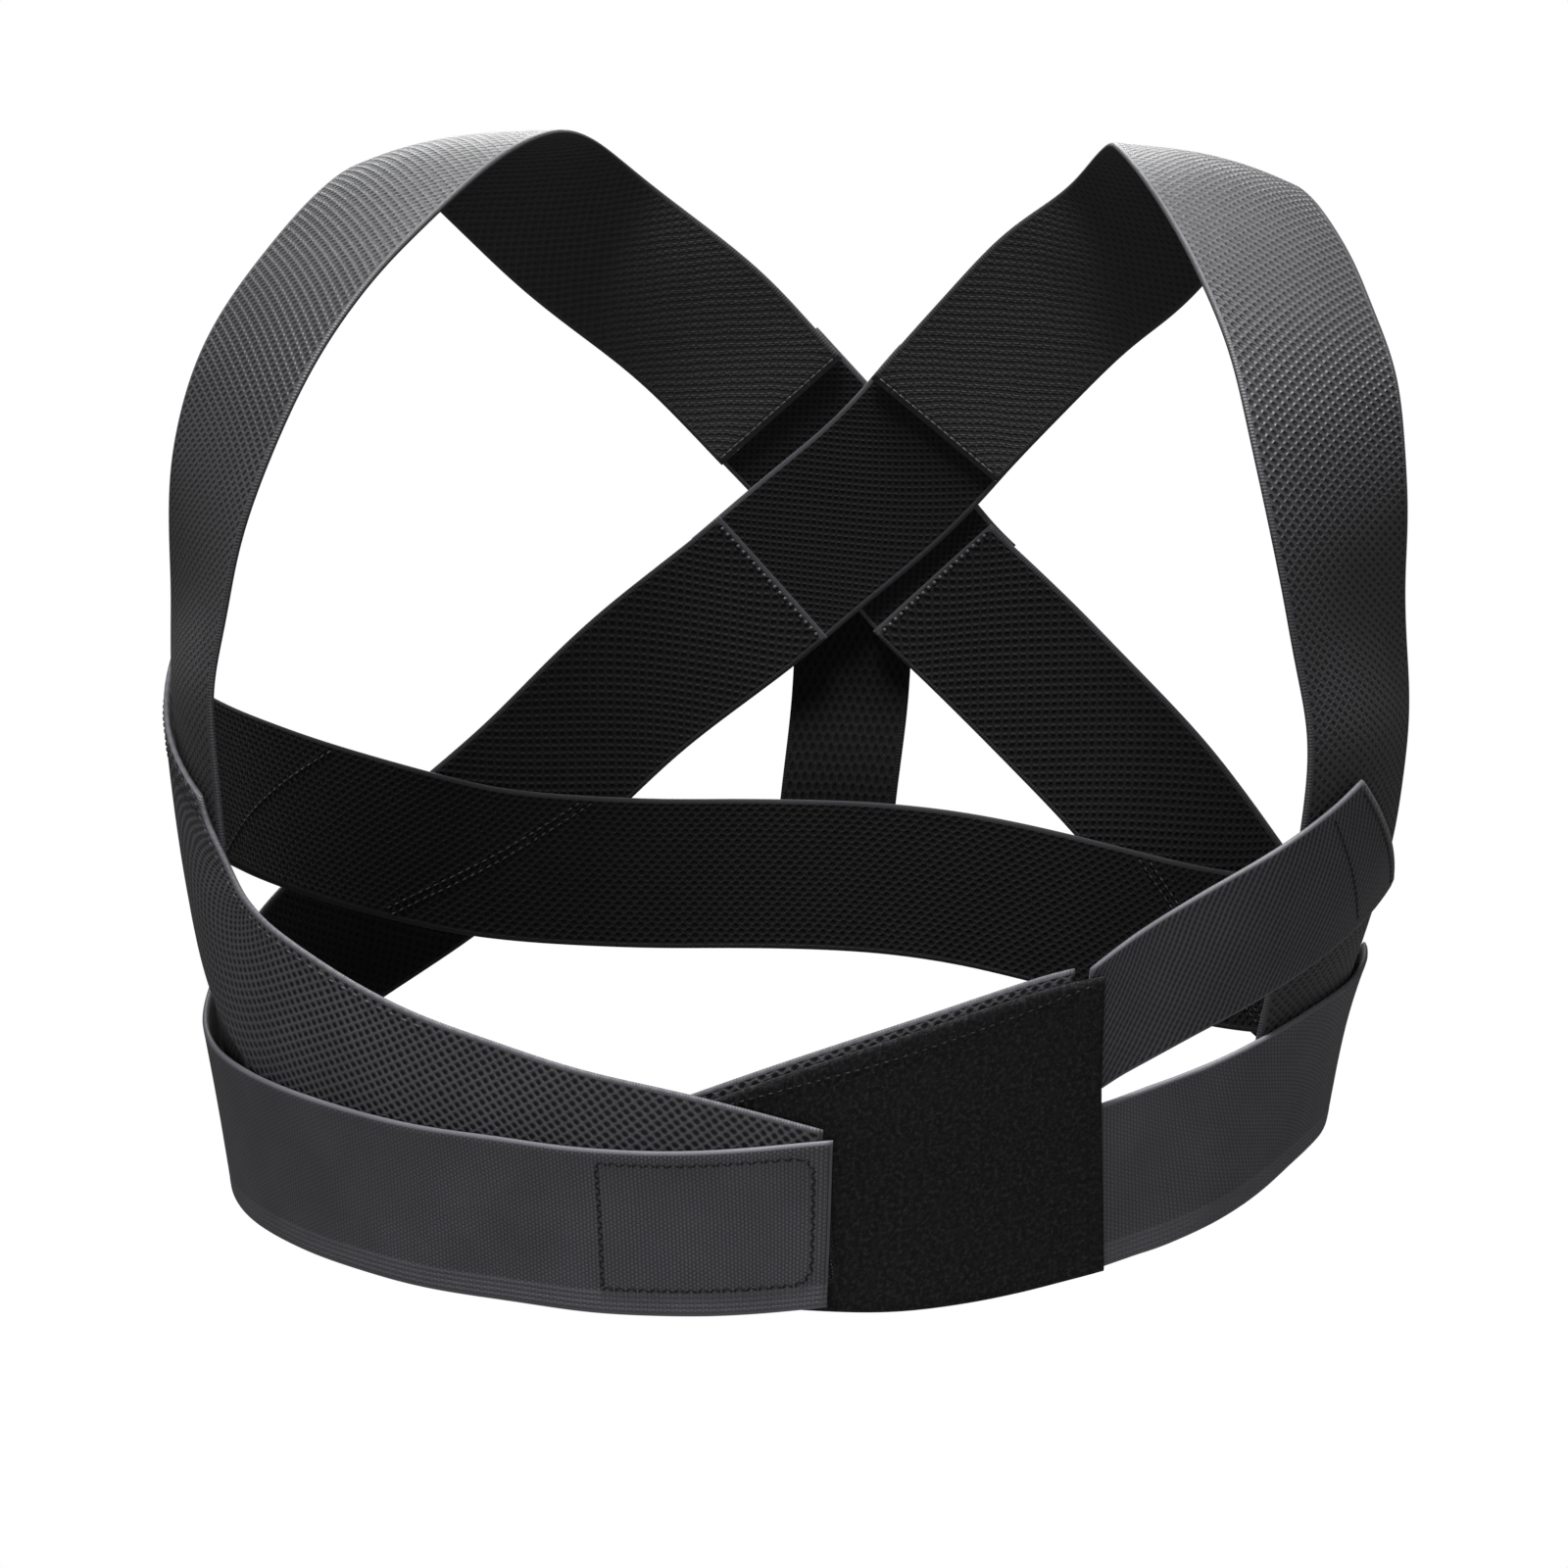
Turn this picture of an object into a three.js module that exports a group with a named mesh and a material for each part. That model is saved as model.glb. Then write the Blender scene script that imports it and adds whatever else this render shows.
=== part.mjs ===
// A posture corrector of elastic webbing: two shoulder straps that cross on the back,
// a band round the back, and a belt and two slanting bands that close in front with hook and loop.
//
// Every piece is a flat strip of cloth bent round the chest that wears it. The strips are laid on
// one smooth form, layer over layer, so that a strip that passes over another is one layer further
// out. The straps leave the form at the shoulder blades, go over the shoulders and come back to it
// under the arms.
//
// Millimetres, +Z up. The wearer faces -Y, so the wearer's left is +X.
// The origin is midway between the tops of the two shoulder straps.

import * as THREE from "three";

// Sizes of the cloth
const webbingWidth = 50;
const webbingThickness = 1.8;
const layerGap = 0.7;
const backBandWidth = 47;
const spineWidth = 36;
const leftBandWideEnd = 48;
const leftBandNarrowEnd = 35;

// Sizes of the chest that wears it, and of the harness on it
const shoulderHeight = 305;
const shoulderSetBack = 40;
const chestHalfWidth = 180;
const chestHalfDepth = 110;
const chestSquareness = 2.4;
const sidewaysLean = 6;
const shoulderCrown = 4;

// Sizes of the sewn and fastened places
const crossSeamFromCentre = 34;
const crossOverlap = 12;
const spineTopAbove = 158;
const spineBottomAbove = 62;
const spineTurn = -1;
const panelEdgeSlant = 5;
const panelEdgeLean = 0.12;
const hookPatchLength = 66;
const hookPatchHeight = 40;
const hookPatchThickness = 1.2;
const panelThickness = 1.6;
const backingShows = 3;
const strapEndAboveBeltEdge = 5;

// Where the strips end, in degrees round the chest from the middle of the back. The strips of the
// left side end at the near edge of the panel, each a little before or behind it, and what the tab
// covers ends just short of the tab's own end.
const sideTurn = 102;
const legEndTurn = 88;
const beltStartTurn = 83;
const tabEndTurn = 199;
const coveredEndTurn = tabEndTurn - 2;
const panelEdgeTurn = 131.5;
const backingEdgeTurn = panelEdgeTurn + 3;
const bandTuckTurn = panelEdgeTurn + 0.7;
const beltTuckTurn = panelEdgeTurn - 1.8;

// Fineness of the solids
const stepLength = 11;
const stepsAcross = 5;

const layer = webbingThickness + layerGap;
const degrees = Math.PI / 180;

// The chest at each height: its half width, its half depth and how far it stands to the left, as
// shares of the sizes above.
const chestSections = [
  { up: -0.15, width: 0.81, depth: 0.87, lean: -0.7 },
  { up: 0.0, width: 0.84, depth: 0.895, lean: -0.6 },
  { up: 0.1, width: 0.865, depth: 0.92, lean: -0.5 },
  { up: 0.225, width: 0.9, depth: 0.96, lean: -0.4 },
  { up: 0.415, width: 0.97, depth: 0.99, lean: 0.4 },
  { up: 0.6, width: 0.99, depth: 1.01, lean: 0.5 },
  { up: 0.75, width: 0.99, depth: 1.0, lean: 0.6 },
  { up: 1.0, width: 0.97, depth: 0.91, lean: 0.8 },
];

// A route names the middle line of a strip. turn is in degrees round the chest, from the middle of
// the back (0) to the middle of the front (180), up is a share of the shoulder height, and layer
// counts the strips that lie between this one and the chest; the back band is drawn in below
// the legs that pass over it, at layer -1.
const innerDiagonal = [
  { turn: -32, up: 0.845, layer: 0 },
  { turn: -22, up: 0.77, layer: 0 },
  { turn: -14, up: 0.71, layer: 0 },
  { turn: -7, up: 0.655, layer: 0 },
  { turn: 0, up: 0.613, layer: 0 },
  { turn: 7, up: 0.575, layer: 0 },
  { turn: 17, up: 0.516, layer: 0 },
  { turn: 33, up: 0.423, layer: 0 },
  { turn: 47, up: 0.31, layer: 0 },
  { turn: 57, up: 0.243, layer: 1 },
  { turn: 70, up: 0.187, layer: 2 },
  { turn: 80, up: 0.15, layer: 2 },
  { turn: 90, up: 0.125, layer: 2 },
];

const outerDiagonal = [
  { turn: -24, up: 0.79, layer: 1 },
  { turn: -13, up: 0.712, layer: 1 },
  { turn: -3, up: 0.645, layer: 1 },
  { turn: 5, up: 0.593, layer: 1 },
  { turn: 12, up: 0.541, layer: 1 },
  { turn: 21, up: 0.488, layer: 1 },
  { turn: 32, up: 0.42, layer: 1 },
  { turn: 44, up: 0.344, layer: 0 },
  { turn: 52, up: 0.287, layer: 0 },
  { turn: 61, up: 0.232, layer: 0 },
  { turn: 72, up: 0.198, layer: 1 },
  { turn: 84, up: 0.19, layer: 1 },
  { turn: 90, up: 0.19, layer: 1 },
];

const rightBeltRoute = [
  { turn: 80, up: 0.15, layer: 3 },
  { turn: 90, up: 0.125, layer: 3 },
  { turn: 102, up: 0.105, layer: 3 },
  { turn: 115, up: 0.098, layer: 3 },
  { turn: 127, up: 0.092, layer: 3 },
  { turn: 139, up: 0.085, layer: 3 },
  { turn: 150, up: 0.085, layer: 3 },
  { turn: 160, up: 0.084, layer: 4 },
  { turn: 180, up: 0.088, layer: 4 },
  { turn: 199, up: 0.104, layer: 4 },
];

const leftBeltRoute = [
  { turn: 80, up: 0.192, layer: 2 },
  { turn: 90, up: 0.192, layer: 2.1 },
  { turn: 98, up: 0.196, layer: 2.2 },
  { turn: 106, up: 0.19, layer: 2.2 },
  { turn: 114.5, up: 0.16, layer: 2.1 },
  { turn: 119, up: 0.144, layer: 1 },
  { turn: 123.5, up: 0.131, layer: 0 },
  { turn: 133, up: 0.11, layer: 0 },
];

const backBandRoute = [
  { turn: -103, up: 0.455, layer: 0 },
  { turn: -95, up: 0.42, layer: 0 },
  { turn: -84, up: 0.372, layer: -0.5 },
  { turn: -71, up: 0.315, layer: -1 },
  { turn: -58, up: 0.268, layer: -1 },
  { turn: -49, up: 0.246, layer: -1 },
  { turn: -32, up: 0.234, layer: -1 },
  { turn: -13, up: 0.236, layer: -1 },
  { turn: 6, up: 0.237, layer: -1 },
  { turn: 21, up: 0.231, layer: -1 },
  { turn: 33, up: 0.22, layer: -1 },
  { turn: 43, up: 0.21, layer: -1 },
  { turn: 54, up: 0.203, layer: -1 },
  { turn: 66, up: 0.213, layer: -1 },
  { turn: 78, up: 0.25, layer: -1 },
  { turn: 90, up: 0.31, layer: 0 },
  { turn: 102, up: 0.375, layer: 0 },
];

const rightFrontBandRoute = [
  { turn: 101.5, up: 0.485, layer: 2.1 },
  { turn: 103.5, up: 0.427, layer: 2.1 },
  { turn: 106, up: 0.374, layer: 2.1 },
  { turn: 110, up: 0.312, layer: 2.1 },
  { turn: 115.5, up: 0.268, layer: 2 },
  { turn: 122, up: 0.24, layer: 2 },
  { turn: 134, up: 0.2, layer: 2 },
  { turn: 145, up: 0.178, layer: 2 },
  { turn: 150, up: 0.17, layer: 2 },
  { turn: 160, up: 0.156, layer: 3 },
  { turn: 178, up: 0.137, layer: 3 },
  { turn: 198, up: 0.108, layer: 3 },
];

const leftFrontBandRoute = [
  { turn: 102, up: 0.43, layer: 2.1 },
  { turn: 108.5, up: 0.4, layer: 2.1 },
  { turn: 117, up: 0.362, layer: 2.1 },
  { turn: 123, up: 0.33, layer: 1 },
  { turn: 128.5, up: 0.295, layer: 0 },
  { turn: 133, up: 0.265, layer: 0 },
];

// The strap under the arm, from the inside of the belt up to the arm hole.
const underarmRoute = [
  { turn: 101.5, up: 0.02 },
  { turn: 103.5, up: 0.2 },
  { turn: 105.5, up: 0.4 },
  { turn: 105.5, up: 0.54 },
];

// The strap where it is clear of the chest. out is a share of the chest's half width, back of its
// half depth, and up of the shoulder height. swing turns the strip's width towards the back and
// tilt lifts its neck edge, both in degrees. sway is a share of the sideways lean, and crown of the
// height by which the strap arches across its width.
const shoulderRoute = [
  { out: 0.45, back: 0.84, up: 0.887, swing: -15, tilt: 41, sway: 0, crown: 0 },
  { out: 0.545, back: 0.65, up: 0.957, swing: -9, tilt: 28, sway: 0, crown: 0.4 },
  { out: 0.605, back: 0.37, up: 0.996, swing: 0, tilt: 10, sway: 0.1, crown: 1 },
  { out: 0.665, back: 0.13, up: 0.98, swing: 8, tilt: 8, sway: 0.3, crown: 0.8 },
  { out: 0.724, back: -0.07, up: 0.943, swing: 14, tilt: 9, sway: 0.5, crown: 0.5 },
  { out: 0.775, back: -0.24, up: 0.902, swing: 20, tilt: 11, sway: 0.5, crown: 0.3 },
  { out: 0.82, back: -0.355, up: 0.856, swing: 27, tilt: 10, sway: 0.5, crown: 0.3 },
  { out: 0.85, back: -0.435, up: 0.8, swing: 35, tilt: 9, sway: 0.3, crown: 0.3 },
  { out: 0.875, back: -0.47, up: 0.741, swing: 42, tilt: 8, sway: 0.2, crown: 0.3 },
  { out: 0.895, back: -0.46, up: 0.675, swing: 52, tilt: 4, sway: 0, crown: 0.3 },
  { out: 0.91, back: -0.43, up: 0.6, swing: 58, tilt: 1, sway: 0, crown: 0.1 },
];

// The closure's outline: the heights of its lower and upper edge round the front.
const closureOutline = [
  { turn: 123, low: 0.045, high: 0.35 },
  { turn: 131, low: 0.032, high: 0.342 },
  { turn: 138, low: 0.02, high: 0.33 },
  { turn: 151, low: 0.006, high: 0.293 },
  { turn: 163, low: 0.006, high: 0.262 },
  { turn: 180, low: 0.01, high: 0.218 },
  { turn: 197, low: 0.014, high: 0.173 },
];

// A smooth curve through the rows of a table: the slope at each row is that of its neighbours.
function smoothColumn(rows, key, column) {
  const slope = (i) => {
    const a = rows[Math.max(i - 1, 0)];
    const b = rows[Math.min(i + 1, rows.length - 1)];
    return (b[column] - a[column]) / (b[key] - a[key]);
  };
  return (x) => {
    let i = 0;
    while (i < rows.length - 2 && x > rows[i + 1][key]) i += 1;
    const width = rows[i + 1][key] - rows[i][key];
    const t = (x - rows[i][key]) / width;
    const rise = rows[i + 1][column] - rows[i][column];
    const s0 = slope(i) * width - rise;
    const s1 = rise - slope(i + 1) * width;
    return rows[i][column] + t * rise + t * (1 - t) * ((1 - t) * s0 + t * s1);
  };
}

// A curve that rests at each row and eases to the next one.
function easedColumn(rows, key, column) {
  return (x) => {
    let i = 0;
    while (i < rows.length - 2 && x > rows[i + 1][key]) i += 1;
    const width = rows[i + 1][key] - rows[i][key];
    const t = THREE.MathUtils.clamp((x - rows[i][key]) / width, 0, 1);
    const eased = t * t * (3 - 2 * t);
    return rows[i][column] + (rows[i + 1][column] - rows[i][column]) * eased;
  };
}

const widthShare = smoothColumn(chestSections, "up", "width");
const depthShare = smoothColumn(chestSections, "up", "depth");
const leanShare = smoothColumn(chestSections, "up", "lean");

// How far the harness stands to one side at a height.
function leanAt(height) {
  return sidewaysLean * leanShare(height / shoulderHeight);
}

// A point on the chest's skin, in the part's frame.
function onSkin(turn, height) {
  const share = height / shoulderHeight;
  const halfWidth = chestHalfWidth * widthShare(share);
  const halfDepth = chestHalfDepth * depthShare(share);
  const across = Math.sin(turn * degrees);
  const back = Math.cos(turn * degrees);
  const n = chestSquareness;
  const reach = (Math.abs(across / halfWidth) ** n + Math.abs(back / halfDepth) ** n) ** (-1 / n);
  return new THREE.Vector3(
    reach * across + leanAt(height),
    reach * back - shoulderSetBack,
    height - shoulderHeight,
  );
}

// The direction straight out of the skin.
function skinNormal(turn, height) {
  const round = onSkin(turn + 0.5, height).sub(onSkin(turn - 0.5, height));
  const rise = onSkin(turn, height + 1).sub(onSkin(turn, height - 1));
  return rise.cross(round).normalize();
}

// A point that lies some layers out from the skin.
function onForm(turn, height, layers) {
  return onSkin(turn, height).addScaledVector(skinNormal(turn, height), layers * layer);
}

// Walks over the skin from one place, round by one distance and up by another.
function walk(turn, height, round, rise) {
  const steps = 8;
  let t = turn;
  let h = height;
  for (let i = 0; i < steps; i += 1) {
    const perDegree = onSkin(t + 0.5, h).distanceTo(onSkin(t - 0.5, h));
    t += round / steps / perDegree;
    h += rise / steps;
  }
  return { turn: t, height: h };
}

// Stations of equal spacing along a route on the form, each with its turn, height and heading.
function stationsAlong(route, from, to, spacing = stepLength) {
  const up = smoothColumn(route, "turn", "up");
  const fine = 240;
  const places = [];
  for (let i = 0; i <= fine; i += 1) {
    const turn = from + ((to - from) * i) / fine;
    places.push({ turn, height: up(turn) * shoulderHeight });
  }
  const length = [0];
  for (let i = 1; i <= fine; i += 1) {
    const a = onSkin(places[i - 1].turn, places[i - 1].height);
    length.push(length[i - 1] + a.distanceTo(onSkin(places[i].turn, places[i].height)));
  }
  const count = Math.max(2, Math.ceil(length[fine] / spacing));
  const stations = [];
  for (let k = 0, i = 0; k <= count; k += 1) {
    const want = (length[fine] * k) / count;
    while (i < fine - 1 && length[i + 1] < want) i += 1;
    const t = (want - length[i]) / (length[i + 1] - length[i]);
    const turn = places[i].turn + t * (places[i + 1].turn - places[i].turn);
    const height = up(turn) * shoulderHeight;
    const a = onSkin(turn - 0.4, up(turn - 0.4) * shoulderHeight);
    const b = onSkin(turn + 0.4, up(turn + 0.4) * shoulderHeight);
    const rise = b.z - a.z;
    const round = Math.hypot(b.x - a.x, b.y - a.y);
    stations.push({ turn, height, heading: Math.atan2(rise, round), share: k / count });
  }
  return stations;
}

// The row of points across a strip at one station, from its lower edge to its upper edge.
// skew slides the upper edge along the strip, for an end that is cut at a slant.
function rowAcross(station, width, layerAt, mirror, skew = 0) {
  const row = [];
  for (let j = 0; j <= stepsAcross; j += 1) {
    const w = width * (j / stepsAcross - 0.5);
    const along = skew * w;
    const c = Math.cos(station.heading);
    const s = Math.sin(station.heading);
    const place = walk(station.turn, station.height, -s * w + c * along, c * w + s * along);
    row.push(onForm(place.turn * mirror, place.height, layerAt(place.turn)));
  }
  return row;
}

// A strip laid on the form along a route. mirror is 1 on the wearer's left and -1 on the right.
// An upright end is cut along the chest's own vertical, whichever way the strip runs there, and
// endLean slides its upper edge on from there.
function stripOnForm({
  route, from, to, width, mirror = 1, startSkew = 0, uprightEnd = false, endLean = 0,
}) {
  const layerAt = easedColumn(route, "turn", "layer");
  const widthAt = typeof width === "function" ? width : () => width;
  return stationsAlong(route, from, to).map((station) => {
    const endSkew = uprightEnd ? Math.tan(station.heading) + endLean : 0;
    const skew = startSkew * Math.max(0, 1 - 3 * station.share)
      + endSkew * Math.max(0, 3 * station.share - 2);
    return rowAcross(station, widthAt(station.share), layerAt, mirror, skew);
  });
}

// Rows of points between two heights, on one layer of the form. The first edge slants: its foot
// lies back from its top by the panel's slant in degrees.
function panelOnForm({ outline, from, to, layers, highBy = 0 }) {
  const low = smoothColumn(outline, "turn", "low");
  const high = smoothColumn(outline, "turn", "high");
  return stationsAlong(outline.map((row) => ({ ...row, up: row.low })), from, to).map((station) => {
    const slant = panelEdgeSlant * Math.max(0, 1 - 2 * station.share);
    const row = [];
    for (let j = 0; j <= stepsAcross; j += 1) {
      const turn = station.turn - slant * (1 - j / stepsAcross);
      const bottom = low(turn) * shoulderHeight;
      const top = high(turn) * shoulderHeight - highBy;
      row.push(onForm(turn, bottom + ((top - bottom) * j) / stepsAcross, layers));
    }
    return row;
  });
}

// The rows of the strap where it is clear of the chest, each straight but for its crown.
function freeRows(mirror) {
  const middles = shoulderRoute.map((row) => {
    const height = row.up * shoulderHeight;
    return new THREE.Vector3(
      mirror * row.out * chestHalfWidth + leanAt(height) + row.sway * sidewaysLean,
      row.back * chestHalfDepth - shoulderSetBack,
      height - shoulderHeight,
    );
  });
  return shoulderRoute.map((row, i) => {
    const before = middles[Math.max(i - 1, 0)];
    const after = middles[Math.min(i + 1, middles.length - 1)];
    const level = Math.cos(row.tilt * degrees);
    const toArm = new THREE.Vector3(
      mirror * level * Math.cos(row.swing * degrees),
      level * Math.sin(row.swing * degrees),
      -Math.sin(row.tilt * degrees),
    );
    const outwards = after.clone().sub(before).cross(toArm).normalize().multiplyScalar(mirror);
    const points = [];
    for (let j = 0; j <= stepsAcross; j += 1) {
      const w = j / stepsAcross - 0.5;
      const arch = row.crown * shoulderCrown * (1 - 4 * w * w);
      const point = middles[i].clone().addScaledVector(toArm, webbingWidth * w);
      points.push(point.addScaledVector(outwards, arch));
    }
    return points;
  });
}

// The rows of one shoulder strap: up the back on the form, over the shoulder, down under the arm
// and inside the belt.
function shoulderRows({ diagonal, beltRoute, mirror }) {
  const layerAt = easedColumn(diagonal, "turn", "layer");
  const seam = turnAtDistance(diagonal, -crossSeamFromCentre);
  const onBack = stationsAlong(diagonal, seam, diagonal[0].turn, 2 * stepLength).map((station) => {
    return rowAcross(station, webbingWidth, layerAt, -mirror).reverse();
  });
  const free = freeRows(mirror);
  const turnAt = smoothColumn(underarmRoute, "up", "turn");
  const under = [];
  const top = underarmRoute[underarmRoute.length - 1].up * shoulderHeight;
  const beltMiddle = smoothColumn(beltRoute, "turn", "up")(turnAt(0)) * shoulderHeight;
  const bottom = beltMiddle - webbingWidth / 2 + strapEndAboveBeltEdge;
  const drops = Math.round((top - bottom) / (2 * stepLength));
  for (let k = 0; k <= drops; k += 1) {
    const height = top + ((bottom - top) * k) / drops;
    const points = [];
    for (let j = 0; j <= stepsAcross; j += 1) {
      const w = webbingWidth * (j / stepsAcross - 0.5);
      const place = walk(turnAt(height / shoulderHeight), height, -w, 0);
      points.push(onForm(place.turn * mirror, place.height, 1));
    }
    under.push(points);
  }
  return smoothAlong([...onBack, ...free, ...under], 2);
}

// The turn at a distance along a diagonal from its crossing in the middle of the back.
function turnAtDistance(route, distance) {
  const up = smoothColumn(route, "turn", "up");
  const step = distance < 0 ? -0.25 : 0.25;
  let turn = 0;
  let gone = 0;
  while (gone < Math.abs(distance)) {
    const a = onSkin(turn, up(turn) * shoulderHeight);
    gone += a.distanceTo(onSkin(turn + step, up(turn + step) * shoulderHeight));
    turn += step;
  }
  return turn;
}

// Adds rows between the given ones, on smooth curves through them.
function smoothAlong(rows, times) {
  const curves = rows[0].map(
    (_, j) => new THREE.CatmullRomCurve3(rows.map((row) => row[j]), false, "centripetal"),
  );
  const count = (rows.length - 1) * times;
  const smooth = [];
  for (let i = 0; i <= count; i += 1) {
    smooth.push(curves.map((curve) => curve.getPoint(i / count)));
  }
  return smooth;
}

// The direction out of a grid of points at each of its places.
function gridNormals(rows) {
  const last = rows.length - 1;
  const edge = rows[0].length - 1;
  return rows.map((row, i) => row.map((_, j) => {
    const along = rows[Math.min(i + 1, last)][j].clone().sub(rows[Math.max(i - 1, 0)][j]);
    const over = row[Math.min(j + 1, edge)].clone().sub(row[Math.max(j - 1, 0)]);
    return along.cross(over).normalize();
  }));
}

// A closed strip of cloth: two skins half a thickness either side of the rows, and four edges.
function clothSolid(rows, thickness) {
  const normals = gridNormals(rows);
  const wide = rows[0].length;
  const long = rows.length;
  const positions = [];
  for (const side of [0.5, -0.5]) {
    for (let i = 0; i < long; i += 1) {
      for (let j = 0; j < wide; j += 1) {
        const p = rows[i][j].clone().addScaledVector(normals[i][j], side * thickness);
        positions.push(p.x, p.y, p.z);
      }
    }
  }
  const at = (skin, i, j) => skin * long * wide + i * wide + j;
  const triangles = [];
  const quad = (a, b, c, d) => triangles.push(a, b, c, a, c, d);
  for (let i = 0; i < long - 1; i += 1) {
    for (let j = 0; j < wide - 1; j += 1) {
      quad(at(0, i, j), at(0, i + 1, j), at(0, i + 1, j + 1), at(0, i, j + 1));
      quad(at(1, i, j), at(1, i, j + 1), at(1, i + 1, j + 1), at(1, i + 1, j));
    }
    quad(at(0, i, 0), at(1, i, 0), at(1, i + 1, 0), at(0, i + 1, 0));
    quad(at(0, i, wide - 1), at(0, i + 1, wide - 1), at(1, i + 1, wide - 1), at(1, i, wide - 1));
  }
  for (let j = 0; j < wide - 1; j += 1) {
    quad(at(0, 0, j), at(0, 0, j + 1), at(1, 0, j + 1), at(1, 0, j));
    quad(at(0, long - 1, j), at(1, long - 1, j), at(1, long - 1, j + 1), at(0, long - 1, j + 1));
  }
  const geometry = new THREE.BufferGeometry();
  geometry.setAttribute("position", new THREE.Float32BufferAttribute(positions, 3));
  geometry.setIndex(triangles);
  if (signedVolume(positions, triangles) < 0) geometry.setIndex(triangles.reverse());
  geometry.computeVertexNormals();
  return geometry;
}

// Six times the volume inside the triangles, negative when they face inwards.
function signedVolume(positions, triangles) {
  const point = (k) => new THREE.Vector3().fromArray(positions, 3 * k);
  let sum = 0;
  for (let k = 0; k < triangles.length; k += 3) {
    const [a, b, c] = [0, 1, 2].map((n) => point(triangles[k + n]));
    sum += a.dot(b.cross(c));
  }
  return sum;
}

// Cloths
const coarseWebbing = new THREE.MeshStandardMaterial({ color: 0x1c1c20, roughness: 0.8 });
const smoothBand = new THREE.MeshStandardMaterial({ color: 0x2b2b30, roughness: 0.7 });
const loopPile = new THREE.MeshStandardMaterial({ color: 0x161618, roughness: 0.95 });
const hookTape = new THREE.MeshStandardMaterial({ color: 0x202024, roughness: 0.6 });

const harness = new THREE.Group();

function addCloth(name, rows, material, thickness = webbingThickness) {
  const mesh = new THREE.Mesh(clothSolid(rows, thickness), material);
  mesh.name = name;
  harness.add(mesh);
}

// The piece that joins a strap to its leg at the crossing, one layer outside both.
function crossPiece(diagonal, mirror) {
  const reach = crossSeamFromCentre + crossOverlap;
  const raised = diagonal.map((row) => ({ ...row, layer: diagonal[4].layer + 1 }));
  return stripOnForm({
    route: raised,
    from: turnAtDistance(diagonal, -reach),
    to: turnAtDistance(diagonal, reach),
    width: webbingWidth,
    mirror,
  });
}

// The leg from the crossing down and round to the side, where the belt takes over.
function backLeg(diagonal, mirror) {
  return stripOnForm({
    route: diagonal,
    from: turnAtDistance(diagonal, crossSeamFromCentre),
    to: legEndTurn,
    width: webbingWidth,
    mirror,
  });
}

// The strap that runs from the crossing down behind the back band, outside everything else.
function spineRows() {
  const drops = Math.ceil((spineTopAbove - spineBottomAbove) / stepLength);
  const rows = [];
  for (let k = 0; k <= drops; k += 1) {
    const share = k / drops;
    const height = spineTopAbove + (spineBottomAbove - spineTopAbove) * share;
    const layers = THREE.MathUtils.lerp(3, 0, THREE.MathUtils.smoothstep(share, 0.3, 0.6));
    const row = [];
    for (let j = 0; j <= stepsAcross; j += 1) {
      const place = walk(spineTurn, height, spineWidth * (j / stepsAcross - 0.5), 0);
      row.push(onForm(place.turn, height, layers));
    }
    rows.push(row);
  }
  return rows;
}

// The patch of hooks behind the tab.
function hookRows() {
  const start = walk(180, 0, -hookPatchLength / 2, 0).turn;
  const route = rightBeltRoute.map((row) => ({ ...row, layer: 2 }));
  return stripOnForm({
    route,
    from: start,
    to: 360 - start,
    width: hookPatchHeight,
    mirror: -1,
  });
}

addCloth("right_shoulder_strap", shoulderRows({
  diagonal: outerDiagonal,
  beltRoute: rightBeltRoute,
  mirror: -1,
}), coarseWebbing);
addCloth("left_shoulder_strap", shoulderRows({
  diagonal: innerDiagonal,
  beltRoute: leftBeltRoute,
  mirror: 1,
}), coarseWebbing);
addCloth("right_cross_strap", crossPiece(outerDiagonal, 1), coarseWebbing);
addCloth("left_cross_strap", crossPiece(innerDiagonal, -1), coarseWebbing);
addCloth("right_back_leg", backLeg(innerDiagonal, -1), coarseWebbing);
addCloth("left_back_leg", backLeg(outerDiagonal, 1), coarseWebbing);
addCloth("back_band", stripOnForm({
  route: backBandRoute,
  from: -sideTurn - 1,
  to: sideTurn,
  width: backBandWidth,
}), coarseWebbing);
addCloth("spine_strap", spineRows(), coarseWebbing);
addCloth("right_front_band", stripOnForm({
  route: rightFrontBandRoute,
  from: sideTurn - 0.5,
  to: coveredEndTurn + 0.5,
  width: webbingWidth,
  mirror: -1,
  startSkew: 1,
  uprightEnd: true,
}), coarseWebbing);
addCloth("left_front_band", stripOnForm({
  route: leftFrontBandRoute,
  from: sideTurn,
  to: bandTuckTurn,
  width: (share) => THREE.MathUtils.lerp(leftBandWideEnd, leftBandNarrowEnd, share),
  startSkew: 0.35,
  uprightEnd: true,
  endLean: panelEdgeLean,
}), smoothBand);
addCloth("right_lower_belt", stripOnForm({
  route: rightBeltRoute,
  from: beltStartTurn,
  to: tabEndTurn,
  width: webbingWidth,
  mirror: -1,
  uprightEnd: true,
}), smoothBand);
addCloth("left_lower_belt", stripOnForm({
  route: leftBeltRoute,
  from: beltStartTurn,
  to: beltTuckTurn,
  width: webbingWidth,
  uprightEnd: true,
  endLean: panelEdgeLean,
}), smoothBand);
addCloth("closure_backing", panelOnForm({
  outline: closureOutline,
  from: backingEdgeTurn,
  to: coveredEndTurn,
  layers: 0,
}), coarseWebbing);
addCloth("loop_panel", panelOnForm({
  outline: closureOutline,
  from: panelEdgeTurn,
  to: coveredEndTurn,
  layers: 1,
  highBy: backingShows,
}), loopPile, panelThickness);
addCloth("hook_patch", hookRows(), hookTape, hookPatchThickness);

export default harness;
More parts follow.
